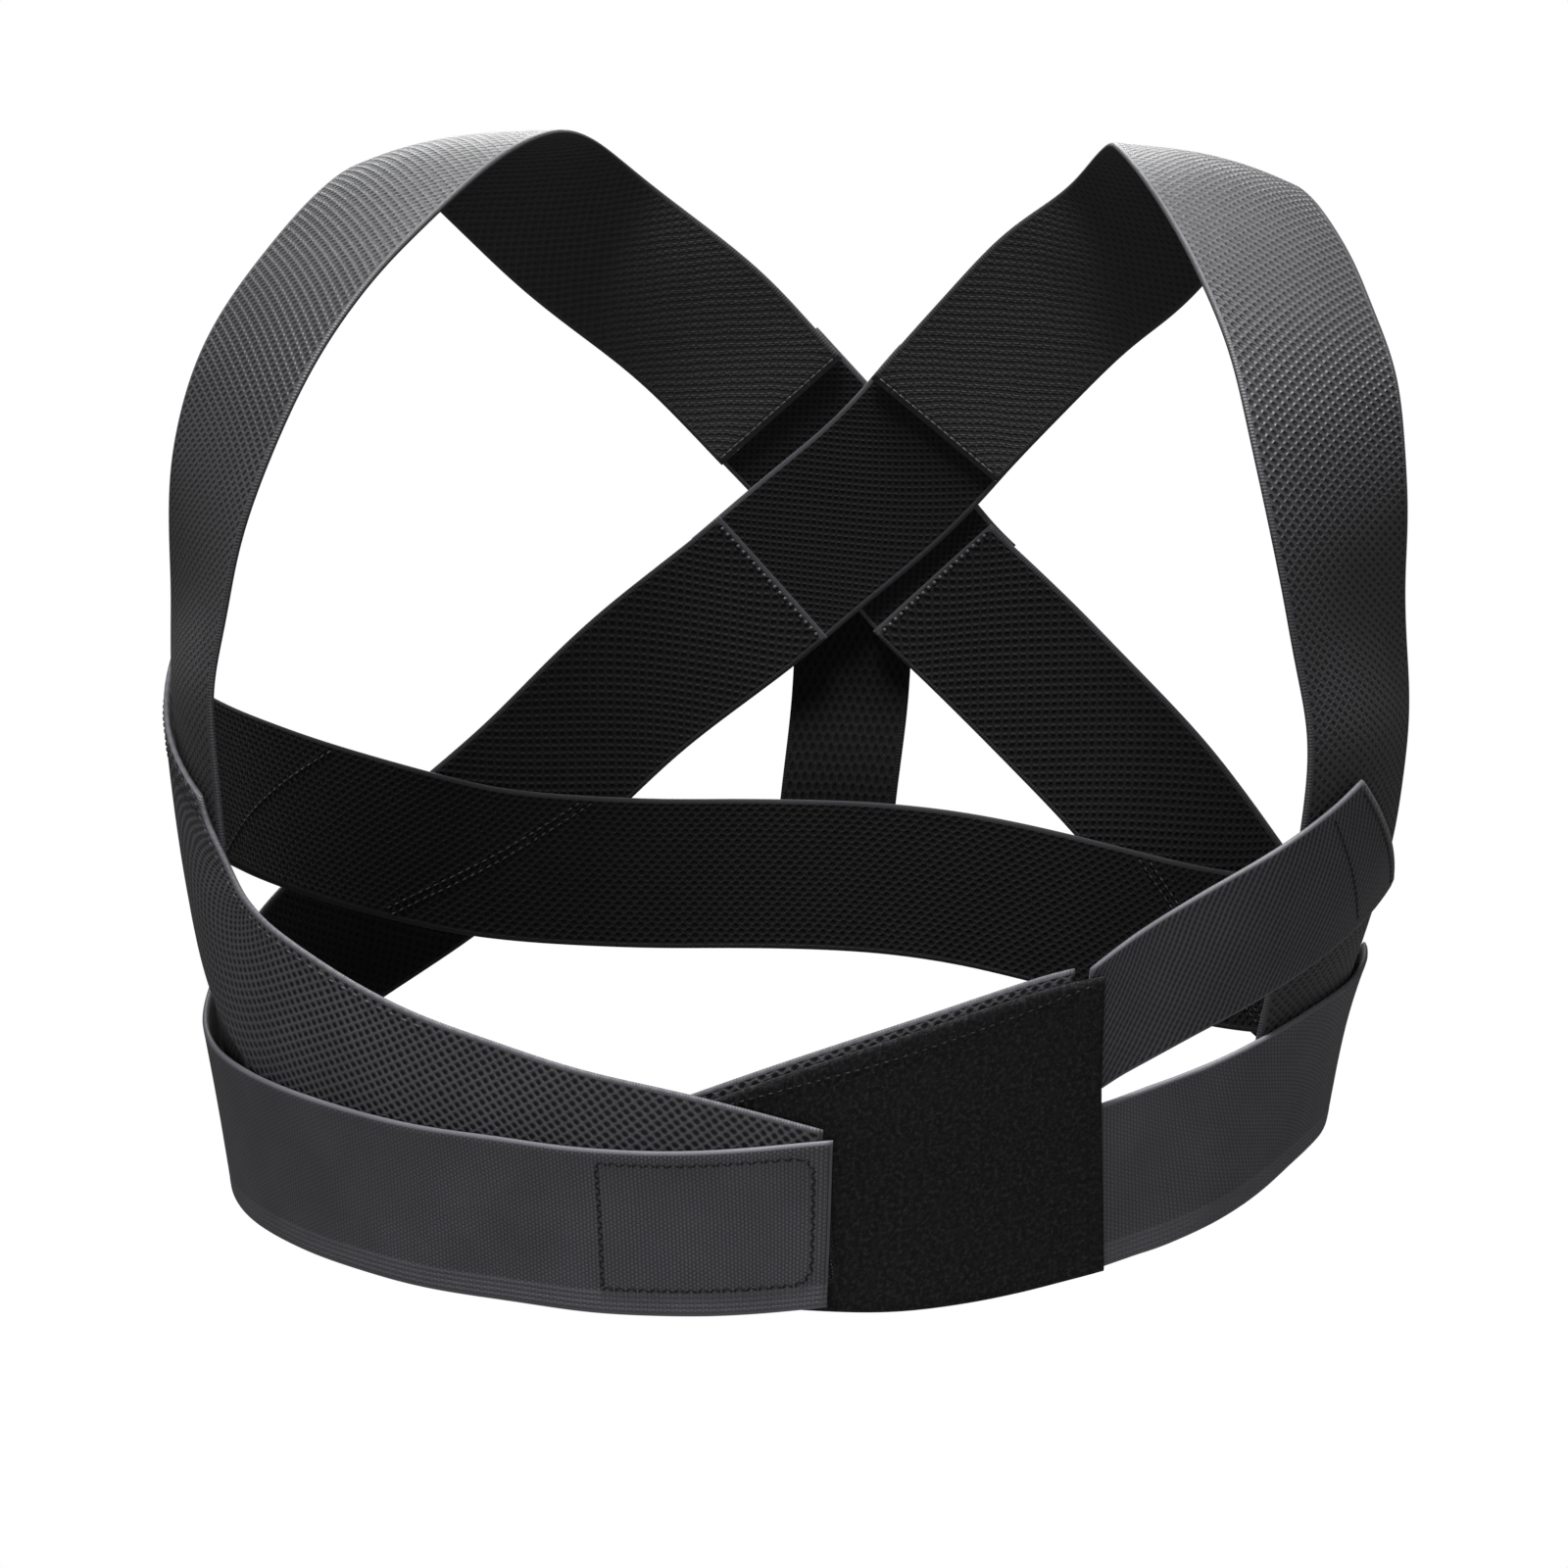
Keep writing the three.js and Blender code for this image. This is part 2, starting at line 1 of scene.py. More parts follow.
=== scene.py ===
# %% [markdown]
# # A posture corrector, strip by strip
# The real thing is sewn from flat elastic webbing. Two straps go over the shoulders and cross on
# the back, a band and a short upright strap tie the crossing down, and belts close in front.
# Every strip takes the shape of the chest that wears it, so one smooth form is worked out first,
# and each strip is then a surface laid on it.

from types import SimpleNamespace

import bpy
import numpy as np
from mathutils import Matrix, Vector


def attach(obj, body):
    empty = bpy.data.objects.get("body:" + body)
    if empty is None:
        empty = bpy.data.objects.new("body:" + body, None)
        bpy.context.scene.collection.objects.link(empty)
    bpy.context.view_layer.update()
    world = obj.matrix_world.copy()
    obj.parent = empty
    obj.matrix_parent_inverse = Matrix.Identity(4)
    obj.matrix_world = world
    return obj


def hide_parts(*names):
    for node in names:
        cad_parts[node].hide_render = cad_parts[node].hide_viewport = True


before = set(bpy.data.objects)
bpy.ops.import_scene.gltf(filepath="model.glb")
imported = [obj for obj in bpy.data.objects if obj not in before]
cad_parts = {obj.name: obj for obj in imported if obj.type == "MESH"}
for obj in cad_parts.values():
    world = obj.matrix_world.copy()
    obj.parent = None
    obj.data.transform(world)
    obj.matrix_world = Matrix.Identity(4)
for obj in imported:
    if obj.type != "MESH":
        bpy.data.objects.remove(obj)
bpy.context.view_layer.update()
print("solids in the frame:", len(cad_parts))

# %% [markdown]
# ## Sizes
# The same named sizes as the solids, in millimetres. They become metres only when a mesh is made.

# %% Sizes of the cloth and of the chest
MM = 0.001
WEBBING_WIDTH = 50
WEBBING_THICKNESS = 1.8
LAYER_GAP = 0.7
LAYER = WEBBING_THICKNESS + LAYER_GAP
BACK_BAND_WIDTH = 47
SPINE_WIDTH = 36
LEFT_BAND_WIDE_END = 48
LEFT_BAND_NARROW_END = 35

SHOULDER_HEIGHT = 305
SHOULDER_SET_BACK = 40
CHEST_HALF_WIDTH = 180
CHEST_HALF_DEPTH = 110
CHEST_SQUARENESS = 2.4
SIDEWAYS_LEAN = 6
SHOULDER_CROWN = 4
print("one layer of cloth, mm:", LAYER)

# %% [markdown]
# A table is a list of rows with named columns. `table` turns short rows into that, and
# `smooth_column` draws a smooth curve through two of its columns. A straight line between rows
# would show as a crease in the cloth, and a spline through all of them could swing too far.

# %% Tables and curves
def table(columns, *rows):
    """Rows of numbers under the column names in one string."""
    return [dict(zip(columns.split(), row)) for row in rows]


def column_of(rows, name):
    """One column of a table as an array."""
    return np.array([row[name] for row in rows], dtype=float)


def smooth_column(rows, key, column):
    """A straight line from row to row, plus a cubic bulge with the slope between the neighbours."""
    keys, values = column_of(rows, key), column_of(rows, column)
    last = len(rows) - 1
    number = np.arange(last + 1)
    before, after = np.maximum(number - 1, 0), np.minimum(number + 1, last)
    slopes = (values[after] - values[before]) / (keys[after] - keys[before])

    def curve(x):
        x = np.asarray(x, dtype=float)
        i = np.clip(np.searchsorted(keys, x) - 1, 0, last - 1)
        width = keys[i + 1] - keys[i]
        t = (x - keys[i]) / width
        rise = values[i + 1] - values[i]
        leaving = slopes[i] * width - rise
        arriving = rise - slopes[i + 1] * width
        return values[i] + t * rise + t * (1 - t) * ((1 - t) * leaving + t * arriving)

    return curve


def eased_column(rows, key, column):
    """Rests at each row and eases to the next one with 3t^2 - 2t^3."""
    keys, values = column_of(rows, key), column_of(rows, column)

    def curve(x):
        x = np.asarray(x, dtype=float)
        i = np.clip(np.searchsorted(keys, x) - 1, 0, len(rows) - 2)
        t = np.clip((x - keys[i]) / (keys[i + 1] - keys[i]), 0, 1)
        return values[i] + (values[i + 1] - values[i]) * t * t * (3 - 2 * t)

    return curve


# %% [markdown]
# ## The form that wears it
# At each height the chest is a superellipse: rounder than a box, squarer than an ellipse. A body
# could be sculpted instead, but it would have to be thrown away again, and a formula gives the
# outward direction anywhere, which is what lets one strip pass cleanly over another.

# %% The chest as a function of turn and height
CHEST = table(
    "up width depth lean",
    (-0.15, 0.81, 0.87, -0.7),
    (0.0, 0.84, 0.895, -0.6),
    (0.1, 0.865, 0.92, -0.5),
    (0.225, 0.9, 0.96, -0.4),
    (0.415, 0.97, 0.99, 0.4),
    (0.6, 0.99, 1.01, 0.5),
    (0.75, 0.99, 1.0, 0.6),
    (1.0, 0.97, 0.91, 0.8),
)
width_share = smooth_column(CHEST, "up", "width")
depth_share = smooth_column(CHEST, "up", "depth")
lean_share = smooth_column(CHEST, "up", "lean")


def lean_at(height):
    """How far the chest is shifted sideways at a height."""
    return SIDEWAYS_LEAN * lean_share(height / SHOULDER_HEIGHT)


def on_skin(turn, height):
    """The superellipse's point: the ray at this turn, cut where |x/a|^n + |y/b|^n is 1."""
    turn, height = np.broadcast_arrays(np.asarray(turn, float), np.asarray(height, float))
    share = height / SHOULDER_HEIGHT
    across, back = np.sin(np.radians(turn)), np.cos(np.radians(turn))
    reach = (
        np.abs(across / (CHEST_HALF_WIDTH * width_share(share))) ** CHEST_SQUARENESS
        + np.abs(back / (CHEST_HALF_DEPTH * depth_share(share))) ** CHEST_SQUARENESS
    ) ** (-1 / CHEST_SQUARENESS)
    x = reach * across + lean_at(height)
    return np.stack([x, reach * back - SHOULDER_SET_BACK, height - SHOULDER_HEIGHT], axis=-1)


def unit(vectors):
    """Each vector over its own length."""
    return vectors / np.maximum(np.linalg.norm(vectors, axis=-1, keepdims=True), 1e-9)


def one_degree(turn, height):
    """The step over the skin from half a degree before a turn to half a degree after it."""
    return on_skin(turn + 0.5, height) - on_skin(turn - 0.5, height)


def skin_normal(turn, height):
    """Upward difference crossed with the difference round the chest: straight out of the skin."""
    rise = on_skin(turn, height + 1) - on_skin(turn, height - 1)
    return unit(np.cross(rise, one_degree(turn, height)))


def on_form(turn, height, layers):
    """The skin's point moved out by a number of cloth layers."""
    return on_skin(turn, height) + skin_normal(turn, height) * (layers * LAYER)[..., None]


def walk(turn, height, round_it, rise, steps=8):
    """Goes over the skin by two distances in small steps: a degree is longer where it is wide."""
    for _ in range(steps):
        degree = np.linalg.norm(one_degree(turn, height), axis=-1)
        turn = turn + round_it / steps / degree
        height = height + rise / steps
    return turn, height


GIRTH_HEIGHT = 200.0
girth = np.linalg.norm(one_degree(np.arange(360), GIRTH_HEIGHT), axis=-1).sum()
print("chest girth, mm:", round(float(girth)))

# %% [markdown]
# ## Strips of cloth
# A strip is a grid of points: rows follow its length and columns its width. The columns crowd
# together at both edges, because webbing has a rounded selvedge that catches the light.

# %% The columns across a strip
EDGE_ROUND = 0.9
INNER_COLUMNS = 36
EDGE_STEPS = np.radians([30, 60, 90])
edge_share = EDGE_ROUND / WEBBING_WIDTH
inner = np.linspace(-0.5 + edge_share, 0.5 - edge_share, INNER_COLUMNS)
outer = 0.5 - edge_share * (1 - np.sin(EDGE_STEPS))
ACROSS = np.concatenate([-outer[::-1], inner, outer])
EDGE_FALL = np.concatenate([np.cos(EDGE_STEPS[::-1]), np.ones(INNER_COLUMNS), np.cos(EDGE_STEPS)])
ROW_STEP = 2.0
print("columns across a strip:", len(ACROSS))

# %% A grid of points as a strip
CHEST_MIDDLE = np.array([0, -SHOULDER_SET_BACK, -SHOULDER_HEIGHT / 2])


def distance_gone(points):
    """Distance along a row of points, from the first to each of them."""
    return np.concatenate([[0], np.cumsum(np.linalg.norm(np.diff(points, axis=0), axis=1))])


def lengths_of(points):
    """Distance gone from the first row of a grid, along its middle column."""
    return distance_gone(points[:, points.shape[1] // 2])


def outward_normals(points):
    """Difference along crossed with difference across, turned to face away from the chest."""
    along, over = np.gradient(points, axis=0), np.gradient(points, axis=1)
    normals = unit(np.cross(along, over))
    outwards = points - CHEST_MIDDLE
    return normals * np.sign((normals * outwards).sum(axis=(0, 1, 2)))


def strip(points, width):
    """A grid of points with what the mesh and the stitches need to know about it."""
    width = np.broadcast_to(np.asarray(width, float), points.shape[:1])
    return SimpleNamespace(
        points=points, normals=outward_normals(points), width=width, along=lengths_of(points)
    )


# %% A strip laid on the form along a route
ROUTE_SAMPLES = 1500
HEADING_STEP = 0.4
SKEW_FADE = 3


def stations(route, start, stop, step=ROW_STEP):
    """Equal steps along a route: the turn, the height and the heading at each of them."""
    up = smooth_column(route, "turn", "up")
    turns = np.linspace(start, stop, ROUTE_SAMPLES)
    gone = distance_gone(on_skin(turns, up(turns) * SHOULDER_HEIGHT))
    share = np.linspace(0, 1, max(2, int(np.ceil(gone[-1] / step))) + 1)
    turn = np.interp(share * gone[-1], gone, turns)
    before = on_skin(turn - HEADING_STEP, up(turn - HEADING_STEP) * SHOULDER_HEIGHT)
    after = on_skin(turn + HEADING_STEP, up(turn + HEADING_STEP) * SHOULDER_HEIGHT)
    ahead = after - before
    heading = np.arctan2(ahead[:, 2], np.hypot(ahead[:, 0], ahead[:, 1]))
    return turn, up(turn) * SHOULDER_HEIGHT, heading, share


def strip_on_form(
    route, start, stop, width, mirror=1, start_skew=0, upright=False, end_lean=0, step=ROW_STEP
):
    """Walks sideways from each station over the skin, and lifts each point by its own layer.

    A skewed end slides forwards along one edge, and the slant fades over a third of the strip.
    """
    turn, height, heading, share = stations(route, start, stop, step)
    width = np.interp(share, [0, 1], width) if np.ndim(width) else np.full(len(share), float(width))
    end_skew = np.tan(heading) + end_lean if upright else 0
    near_start = np.maximum(0, 1 - SKEW_FADE * share)
    near_end = np.maximum(0, SKEW_FADE * share - (SKEW_FADE - 1))
    skew = start_skew * near_start + end_skew * near_end
    aside = width[:, None] * ACROSS[None, :]
    forward = skew[:, None] * aside
    c, s = np.cos(heading)[:, None], np.sin(heading)[:, None]
    turns, heights = walk(
        turn[:, None], height[:, None], c * forward - s * aside, s * forward + c * aside
    )
    layers = eased_column(route, "turn", "layer")(turns)
    return strip(on_form(turns * mirror, heights, layers), width)


# %% [markdown]
# ## Where each strip runs
# A route names the middle line of a strip: `turn` is in degrees round the chest from the middle of
# the back, `up` is a share of the shoulder height, and `layer` counts the strips underneath.

# %% Routes on the back
INNER_DIAGONAL = table(
    "turn up layer",
    (-32, 0.845, 0), (-22, 0.77, 0), (-14, 0.71, 0), (-7, 0.655, 0), (0, 0.613, 0),
    (7, 0.575, 0), (17, 0.516, 0), (33, 0.423, 0), (47, 0.31, 0), (57, 0.243, 1),
    (70, 0.187, 2), (80, 0.15, 2), (90, 0.125, 2),
)
OUTER_DIAGONAL = table(
    "turn up layer",
    (-24, 0.79, 1), (-13, 0.712, 1), (-3, 0.645, 1), (5, 0.593, 1), (12, 0.541, 1),
    (21, 0.488, 1), (32, 0.42, 1), (44, 0.344, 0), (52, 0.287, 0), (61, 0.232, 0),
    (72, 0.198, 1), (84, 0.19, 1), (90, 0.19, 1),
)
BACK_BAND = table(
    "turn up layer",
    (-103, 0.455, 0), (-95, 0.42, 0), (-84, 0.372, -0.5), (-71, 0.315, -1), (-58, 0.268, -1),
    (-49, 0.246, -1), (-32, 0.234, -1), (-13, 0.236, -1), (6, 0.237, -1), (21, 0.231, -1),
    (33, 0.22, -1), (43, 0.21, -1), (54, 0.203, -1), (66, 0.213, -1), (78, 0.25, -1),
    (90, 0.31, 0), (102, 0.375, 0),
)

# %% Routes round the front
RIGHT_BELT = table(
    "turn up layer",
    (80, 0.15, 3), (90, 0.125, 3), (102, 0.105, 3), (115, 0.098, 3), (127, 0.092, 3),
    (139, 0.085, 3), (150, 0.085, 3), (160, 0.084, 4), (180, 0.088, 4), (199, 0.104, 4),
)
LEFT_BELT = table(
    "turn up layer",
    (80, 0.192, 2), (90, 0.192, 2.1), (98, 0.196, 2.2), (106, 0.19, 2.2), (114.5, 0.16, 2.1),
    (119, 0.144, 1), (123.5, 0.131, 0), (133, 0.11, 0),
)
RIGHT_BAND = table(
    "turn up layer",
    (101.5, 0.485, 2.1), (103.5, 0.427, 2.1), (106, 0.374, 2.1), (110, 0.312, 2.1),
    (115.5, 0.268, 2), (122, 0.24, 2), (134, 0.2, 2), (145, 0.178, 2), (150, 0.17, 2),
    (160, 0.156, 3), (178, 0.137, 3), (198, 0.108, 3),
)
LEFT_BAND = table(
    "turn up layer",
    (102, 0.43, 2.1), (108.5, 0.4, 2.1), (117, 0.362, 2.1), (123, 0.33, 1), (128.5, 0.295, 0),
    (133, 0.265, 0),
)

# %% The shoulder, where a strap is clear of the chest
SHOULDER = table(
    "out back up swing tilt sway crown",
    (0.45, 0.84, 0.887, -15, 41, 0, 0),
    (0.545, 0.65, 0.957, -9, 28, 0, 0.4),
    (0.605, 0.37, 0.996, 0, 10, 0.1, 1),
    (0.665, 0.13, 0.98, 8, 8, 0.3, 0.8),
    (0.724, -0.07, 0.943, 14, 9, 0.5, 0.5),
    (0.775, -0.24, 0.902, 20, 11, 0.5, 0.3),
    (0.82, -0.355, 0.856, 27, 10, 0.5, 0.3),
    (0.85, -0.435, 0.8, 35, 9, 0.3, 0.3),
    (0.875, -0.47, 0.741, 42, 8, 0.2, 0.3),
    (0.895, -0.46, 0.675, 52, 4, 0, 0.3),
    (0.91, -0.43, 0.6, 58, 1, 0, 0.1),
)
UNDERARM = table(
    "up turn",
    (0.02, 101.5), (0.2, 103.5), (0.4, 105.5), (0.54, 105.5),
)
BIG_STEP = 22
CROSS_SEAM = 34
CROSS_OVERLAP = 12
STRAP_END_ABOVE_BELT_EDGE = 5
print("rows over the shoulder:", len(SHOULDER))


# %% [markdown]
# A shoulder strap is on the form only at both ends. Between them it arches over the shoulder, so
# it gets rows of its own there: each is a straight line across the strap, turned by `swing` and
# `tilt` and raised in the middle by the crown. A smooth curve through the rows joins the parts.

# %% The rows of a shoulder strap
CURVE_SAMPLES = 2000
CROSSING_TURNS = 40


def turn_at_distance(route, distance):
    """Where the route is a distance away from its crossing at turn 0."""
    up = smooth_column(route, "turn", "up")
    turns = np.linspace(0, np.sign(distance) * CROSSING_TURNS, CURVE_SAMPLES)
    gone = distance_gone(on_skin(turns, up(turns) * SHOULDER_HEIGHT))
    return float(np.interp(abs(distance), gone, turns))


def free_rows(mirror):
    """Middle points from the table's shares, a direction to the arm, and a parabola as crown."""
    col = {name: column_of(SHOULDER, name) for name in SHOULDER[0]}
    height = col["up"] * SHOULDER_HEIGHT
    x = mirror * col["out"] * CHEST_HALF_WIDTH + lean_at(height) + col["sway"] * SIDEWAYS_LEAN
    y = col["back"] * CHEST_HALF_DEPTH - SHOULDER_SET_BACK
    middles = np.stack([x, y, height - SHOULDER_HEIGHT], axis=-1)
    swing, tilt = np.radians(col["swing"]), np.radians(col["tilt"])
    to_arm = np.stack([
        mirror * np.cos(tilt) * np.cos(swing), np.cos(tilt) * np.sin(swing), -np.sin(tilt)
    ], axis=-1)
    ends = np.clip(np.arange(len(x))[:, None] + [-1, 1], 0, len(x) - 1)
    ahead = middles[ends[:, 1]] - middles[ends[:, 0]]
    out = unit(np.cross(ahead, to_arm)) * mirror
    arch = col["crown"][:, None] * SHOULDER_CROWN * (1 - 4 * ACROSS**2)[None, :]
    flat = middles[:, None] + to_arm[:, None] * (WEBBING_WIDTH * ACROSS)[None, :, None]
    return flat + out[:, None] * arch[..., None]


# %% A smooth curve through the rows
def through_rows(rows, share):
    """The centripetal Catmull-Rom curve through each column: knots spaced by root distances."""
    first, last = 2 * rows[0] - rows[1], 2 * rows[-1] - rows[-2]
    p = np.concatenate([first[None], rows, last[None]])
    place = share * (len(rows) - 1)
    i = np.minimum(place.astype(int), len(rows) - 2)
    t = (place - i)[:, None, None]
    p0, p1, p2, p3 = (p[i + k] for k in range(4))
    pairs = ((p0, p1), (p1, p2), (p2, p3))
    d0, d1, d2 = (np.sqrt(np.linalg.norm(b - a, axis=-1, keepdims=True)) for a, b in pairs)
    leave = ((p1 - p0) / d0 - (p2 - p0) / (d0 + d1) + (p2 - p1) / d1) * d1
    arrive = ((p2 - p1) / d1 - (p3 - p1) / (d1 + d2) + (p3 - p2) / d2) * d1
    cubic = 2 * p1 - 2 * p2 + leave + arrive
    square = -3 * p1 + 3 * p2 - 2 * leave - arrive
    return ((cubic * t + square) * t + leave) * t + p1


# %% A whole shoulder strap
def shoulder_strip(diagonal, belt, mirror):
    """Up the back, over the shoulder, under the arm and inside the belt, in equal steps."""
    seam, top = turn_at_distance(diagonal, -CROSS_SEAM), diagonal[0]["turn"]
    on_back = strip_on_form(diagonal, seam, top, WEBBING_WIDTH, -mirror, step=BIG_STEP).points
    turn_at = smooth_column(UNDERARM, "up", "turn")
    high = UNDERARM[-1]["up"] * SHOULDER_HEIGHT
    belt_middle = float(smooth_column(belt, "turn", "up")(turn_at(0))) * SHOULDER_HEIGHT
    low = belt_middle - WEBBING_WIDTH / 2 + STRAP_END_ABOVE_BELT_EDGE
    heights = np.linspace(high, low, 1 + int(round((high - low) / BIG_STEP)))[:, None]
    turns, heights = walk(
        turn_at(heights / SHOULDER_HEIGHT) + 0 * ACROSS, heights + 0 * ACROSS,
        -WEBBING_WIDTH * ACROSS[None, :], 0.0,
    )
    under = on_form(turns * mirror, heights, np.ones(turns.shape))
    rows = np.concatenate([on_back[:, ::-1], free_rows(mirror), under])
    even = np.linspace(0, 1, CURVE_SAMPLES)
    gone = lengths_of(through_rows(rows, even))
    count = int(round(gone[-1] / ROW_STEP)) + 1
    share = np.interp(np.linspace(0, gone[-1], count), gone, even)
    return strip(through_rows(rows, share), WEBBING_WIDTH)


# %% [markdown]
# ## Putting a mesh in the scene
# Each piece rides on the one body there is.

# %% Mesh helpers
CLOTH_MAP, EDGE_VALUE, INNER_VALUE = "cloth_mm", "edge_mm", "inner_face"


def add_map(mesh, u, v, edge, inner):
    """A map in millimetres across and along, the distance to the edge, and 1 on the inner face."""
    layer = mesh.uv_layers.new(name=CLOTH_MAP)
    corner = np.empty(len(mesh.loops), dtype=np.int32)
    mesh.loops.foreach_get("vertex_index", corner)
    places = np.stack([u[corner], v[corner]], axis=-1)
    layer.data.foreach_set("uv", places.ravel().astype(np.float32))
    for label, values in ((EDGE_VALUE, edge), (INNER_VALUE, inner)):
        attribute = mesh.attributes.new(label, "FLOAT", "POINT")
        attribute.data.foreach_set("value", values.astype(np.float32))


def add_piece(name, mesh):
    """A smooth piece at the origin, on the one body."""
    mesh.validate()
    mesh.polygons.foreach_set("use_smooth", np.ones(len(mesh.polygons), dtype=bool))
    made = bpy.data.objects.new(name, mesh)
    bpy.context.scene.collection.objects.link(made)
    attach(made, "root")
    print(name, "has", len(mesh.polygons), "faces")
    return made


# %% [markdown]
# ## From a grid to cloth
# The mesh is a closed tube: out along the outer skin, round one edge, back along the inner skin.
# A Solidify modifier would give square edges, so the thickness here swells a little in the
# selvedge and then falls to nothing in a quarter circle. Slow, small waves keep the strip from
# looking like sheet metal.

# %% The edge and the waves
WAVE_LENGTHS = (31.0, 47.0, 83.0)
TWIST_WIDTH = 60


def edge_distance(piece):
    """Millimetres from each grid point to the nearer edge."""
    return piece.width[:, None] * (0.5 - np.abs(ACROSS))[None, :]


def waves(piece, height, seed):
    """Sum of slow sines with seeded phases: along the strip, and twisting across it."""
    rng = np.random.default_rng(seed)
    v, u = piece.along[:, None], piece.width[:, None] * ACROSS[None, :]
    total = 0
    for length in WAVE_LENGTHS:
        a, b = rng.uniform(0, 2 * np.pi, 2)
        total = total + np.sin(2 * np.pi * v / length + a) * np.cos(np.pi * u / TWIST_WIDTH + b)
    return height * total / len(WAVE_LENGTHS)


# %% The faces of a tube
def grid_faces(rows, ring):
    """Quads of a tube: neighbours along, and neighbours round with the last joined to the first."""
    i, j = np.meshgrid(np.arange(rows - 1), np.arange(ring), indexing="ij")
    k = (j + 1) % ring
    quads = np.stack([i * ring + j, (i + 1) * ring + j, (i + 1) * ring + k, i * ring + k], axis=-1)
    return quads.reshape(-1, 4)


def cap_faces(columns, ring, start):
    """Faces that close one end, from each outer point to the inner point under it.

    The first and last quad would have one corner twice, so they become triangles.
    """
    j = np.arange(columns - 1)
    under = np.where(j == 0, 0, ring - j)
    under_next = np.where(j + 1 == columns - 1, columns - 1, ring - j - 1)
    return [
        tuple(dict.fromkeys(int(start + n) for n in quad))
        for quad in zip(j, j + 1, under_next, under)
    ]


def volume_of(points, quads):
    """Six times the volume is the sum of a . (b x c) over the triangles."""
    a, b, c, d = (points[quads[:, n]] for n in range(4))
    six = (a * np.cross(b, c)).sum() + (a * np.cross(c, d)).sum()
    return six / 6


# %% [markdown]
# A route or a row of points that was listed one by one leaves small bends in a strip's edges.
# Elastic that is pulled tight has none, so each row is averaged with its neighbours along the
# strip. The ends stay where they are, because other strips are sewn there.

# %% Easing along a strip
EASE_LENGTH = 14.0
EASE_FREE_END = 25.0


def eased(piece):
    """Averages the rows near each row, weighted by a bell curve, and leaves both ends in place."""
    apart = piece.along[:, None] - piece.along[None, :]
    weight = np.exp(-((apart / EASE_LENGTH) ** 2))
    weight = weight / weight.sum(axis=1, keepdims=True)
    calm = np.einsum("ij,jkl->ikl", weight, piece.points)
    end = np.minimum(piece.along, piece.along[-1] - piece.along)
    share = np.clip(end / EASE_FREE_END, 0, 1)[:, None, None]
    return piece.points + (calm - piece.points) * share


# %% [markdown]
# A strap has two faces and a firm edge, so each mesh is one tube: out over the outer face and
# back under the inner one, with a cap at each end. A flat sheet thickened by a modifier would
# also do, but here the thickness changes from point to point. It is more along the selvedge and
# less at a cut end, and an array of numbers gives that directly.

# %% A mesh from a strip
SELVEDGE, SELVEDGE_SPREAD, SELVEDGE_SWELL = 1.7, 0.7, 0.12
END_THINNESS = 0.72


def there_and_back(outside, inside):
    """A ring of columns: out over one skin, and back under the other."""
    return np.concatenate([outside, inside[:, -2:0:-1]], axis=1)


def tube_of(piece, end, thickness):
    """Half the thickness to each side of the points, with less at the edges and the ends."""
    swell = 1 + SELVEDGE_SWELL * np.exp(
        -(((edge_distance(piece) - SELVEDGE) / SELVEDGE_SPREAD) ** 2)
    )
    end_fall = np.interp(end, [0, ROW_STEP], [END_THINNESS, 1])[:, None]
    half = (thickness / 2 * swell * EDGE_FALL * end_fall)[..., None]
    return there_and_back(piece.points + piece.normals * half, piece.points - piece.normals * half)


def mesh_of(name, tube):
    """The tube's quads and both caps, all turned round if they face inwards."""
    rows, ring = tube.shape[:2]
    points, columns = tube.reshape(-1, 3), len(ACROSS)
    quads = grid_faces(rows, ring)
    caps = cap_faces(columns, ring, 0)
    caps += [face[::-1] for face in cap_faces(columns, ring, (rows - 1) * ring)]
    if volume_of(points, quads) < 0:
        quads, caps = quads[:, ::-1], [face[::-1] for face in caps]
    mesh = bpy.data.meshes.new(name)
    mesh.from_pydata((points * MM).tolist(), [], quads.tolist() + caps)
    return mesh


# %% [markdown]
# Three values go onto each mesh for the materials: where a point is on the cloth, how far it is
# from the edge, and whether it is on the face that lies on the wearer. Strips that end in sight
# have end lines, where the same packed threads run across the cut end, in the same paler edge
# colour that is partly painted highlight.

# %% Cloth from a strip
END_LINE_INSET = 0.6
CLOTH_WAVE = 0.16


def add_cloth_values(mesh, piece, end, end_lines):
    """The three values for each point. An end line brings the nearer edge to the cut end."""
    u, edge = piece.width[:, None] * ACROSS[None, :], edge_distance(piece)
    u, edge = there_and_back(u, u), there_and_back(edge, edge)
    v = np.broadcast_to(piece.along[:, None], u.shape)
    if end_lines:
        edge = np.minimum(edge, end[:, None] + END_LINE_INSET)
    inner = np.broadcast_to(np.arange(u.shape[1]) >= len(ACROSS), u.shape)
    add_map(mesh, u.ravel(), v.ravel(), edge.ravel(), inner.ravel())


def cloth(name, node, material, piece, thickness=WEBBING_THICKNESS, wave=CLOTH_WAVE, seed=1,
          end_lines=False):
    """A closed, smooth mesh that stands for a solid, and hides that solid."""
    piece.points = eased(piece) + piece.normals * waves(piece, wave, seed)[..., None]
    end = np.minimum(piece.along, piece.along[-1] - piece.along)
    mesh = mesh_of(name, tube_of(piece, end, thickness))
    add_cloth_values(mesh, piece, end, end_lines)
    mesh.materials.append(material)
    made = add_piece(name, mesh)
    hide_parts(node)
    return made
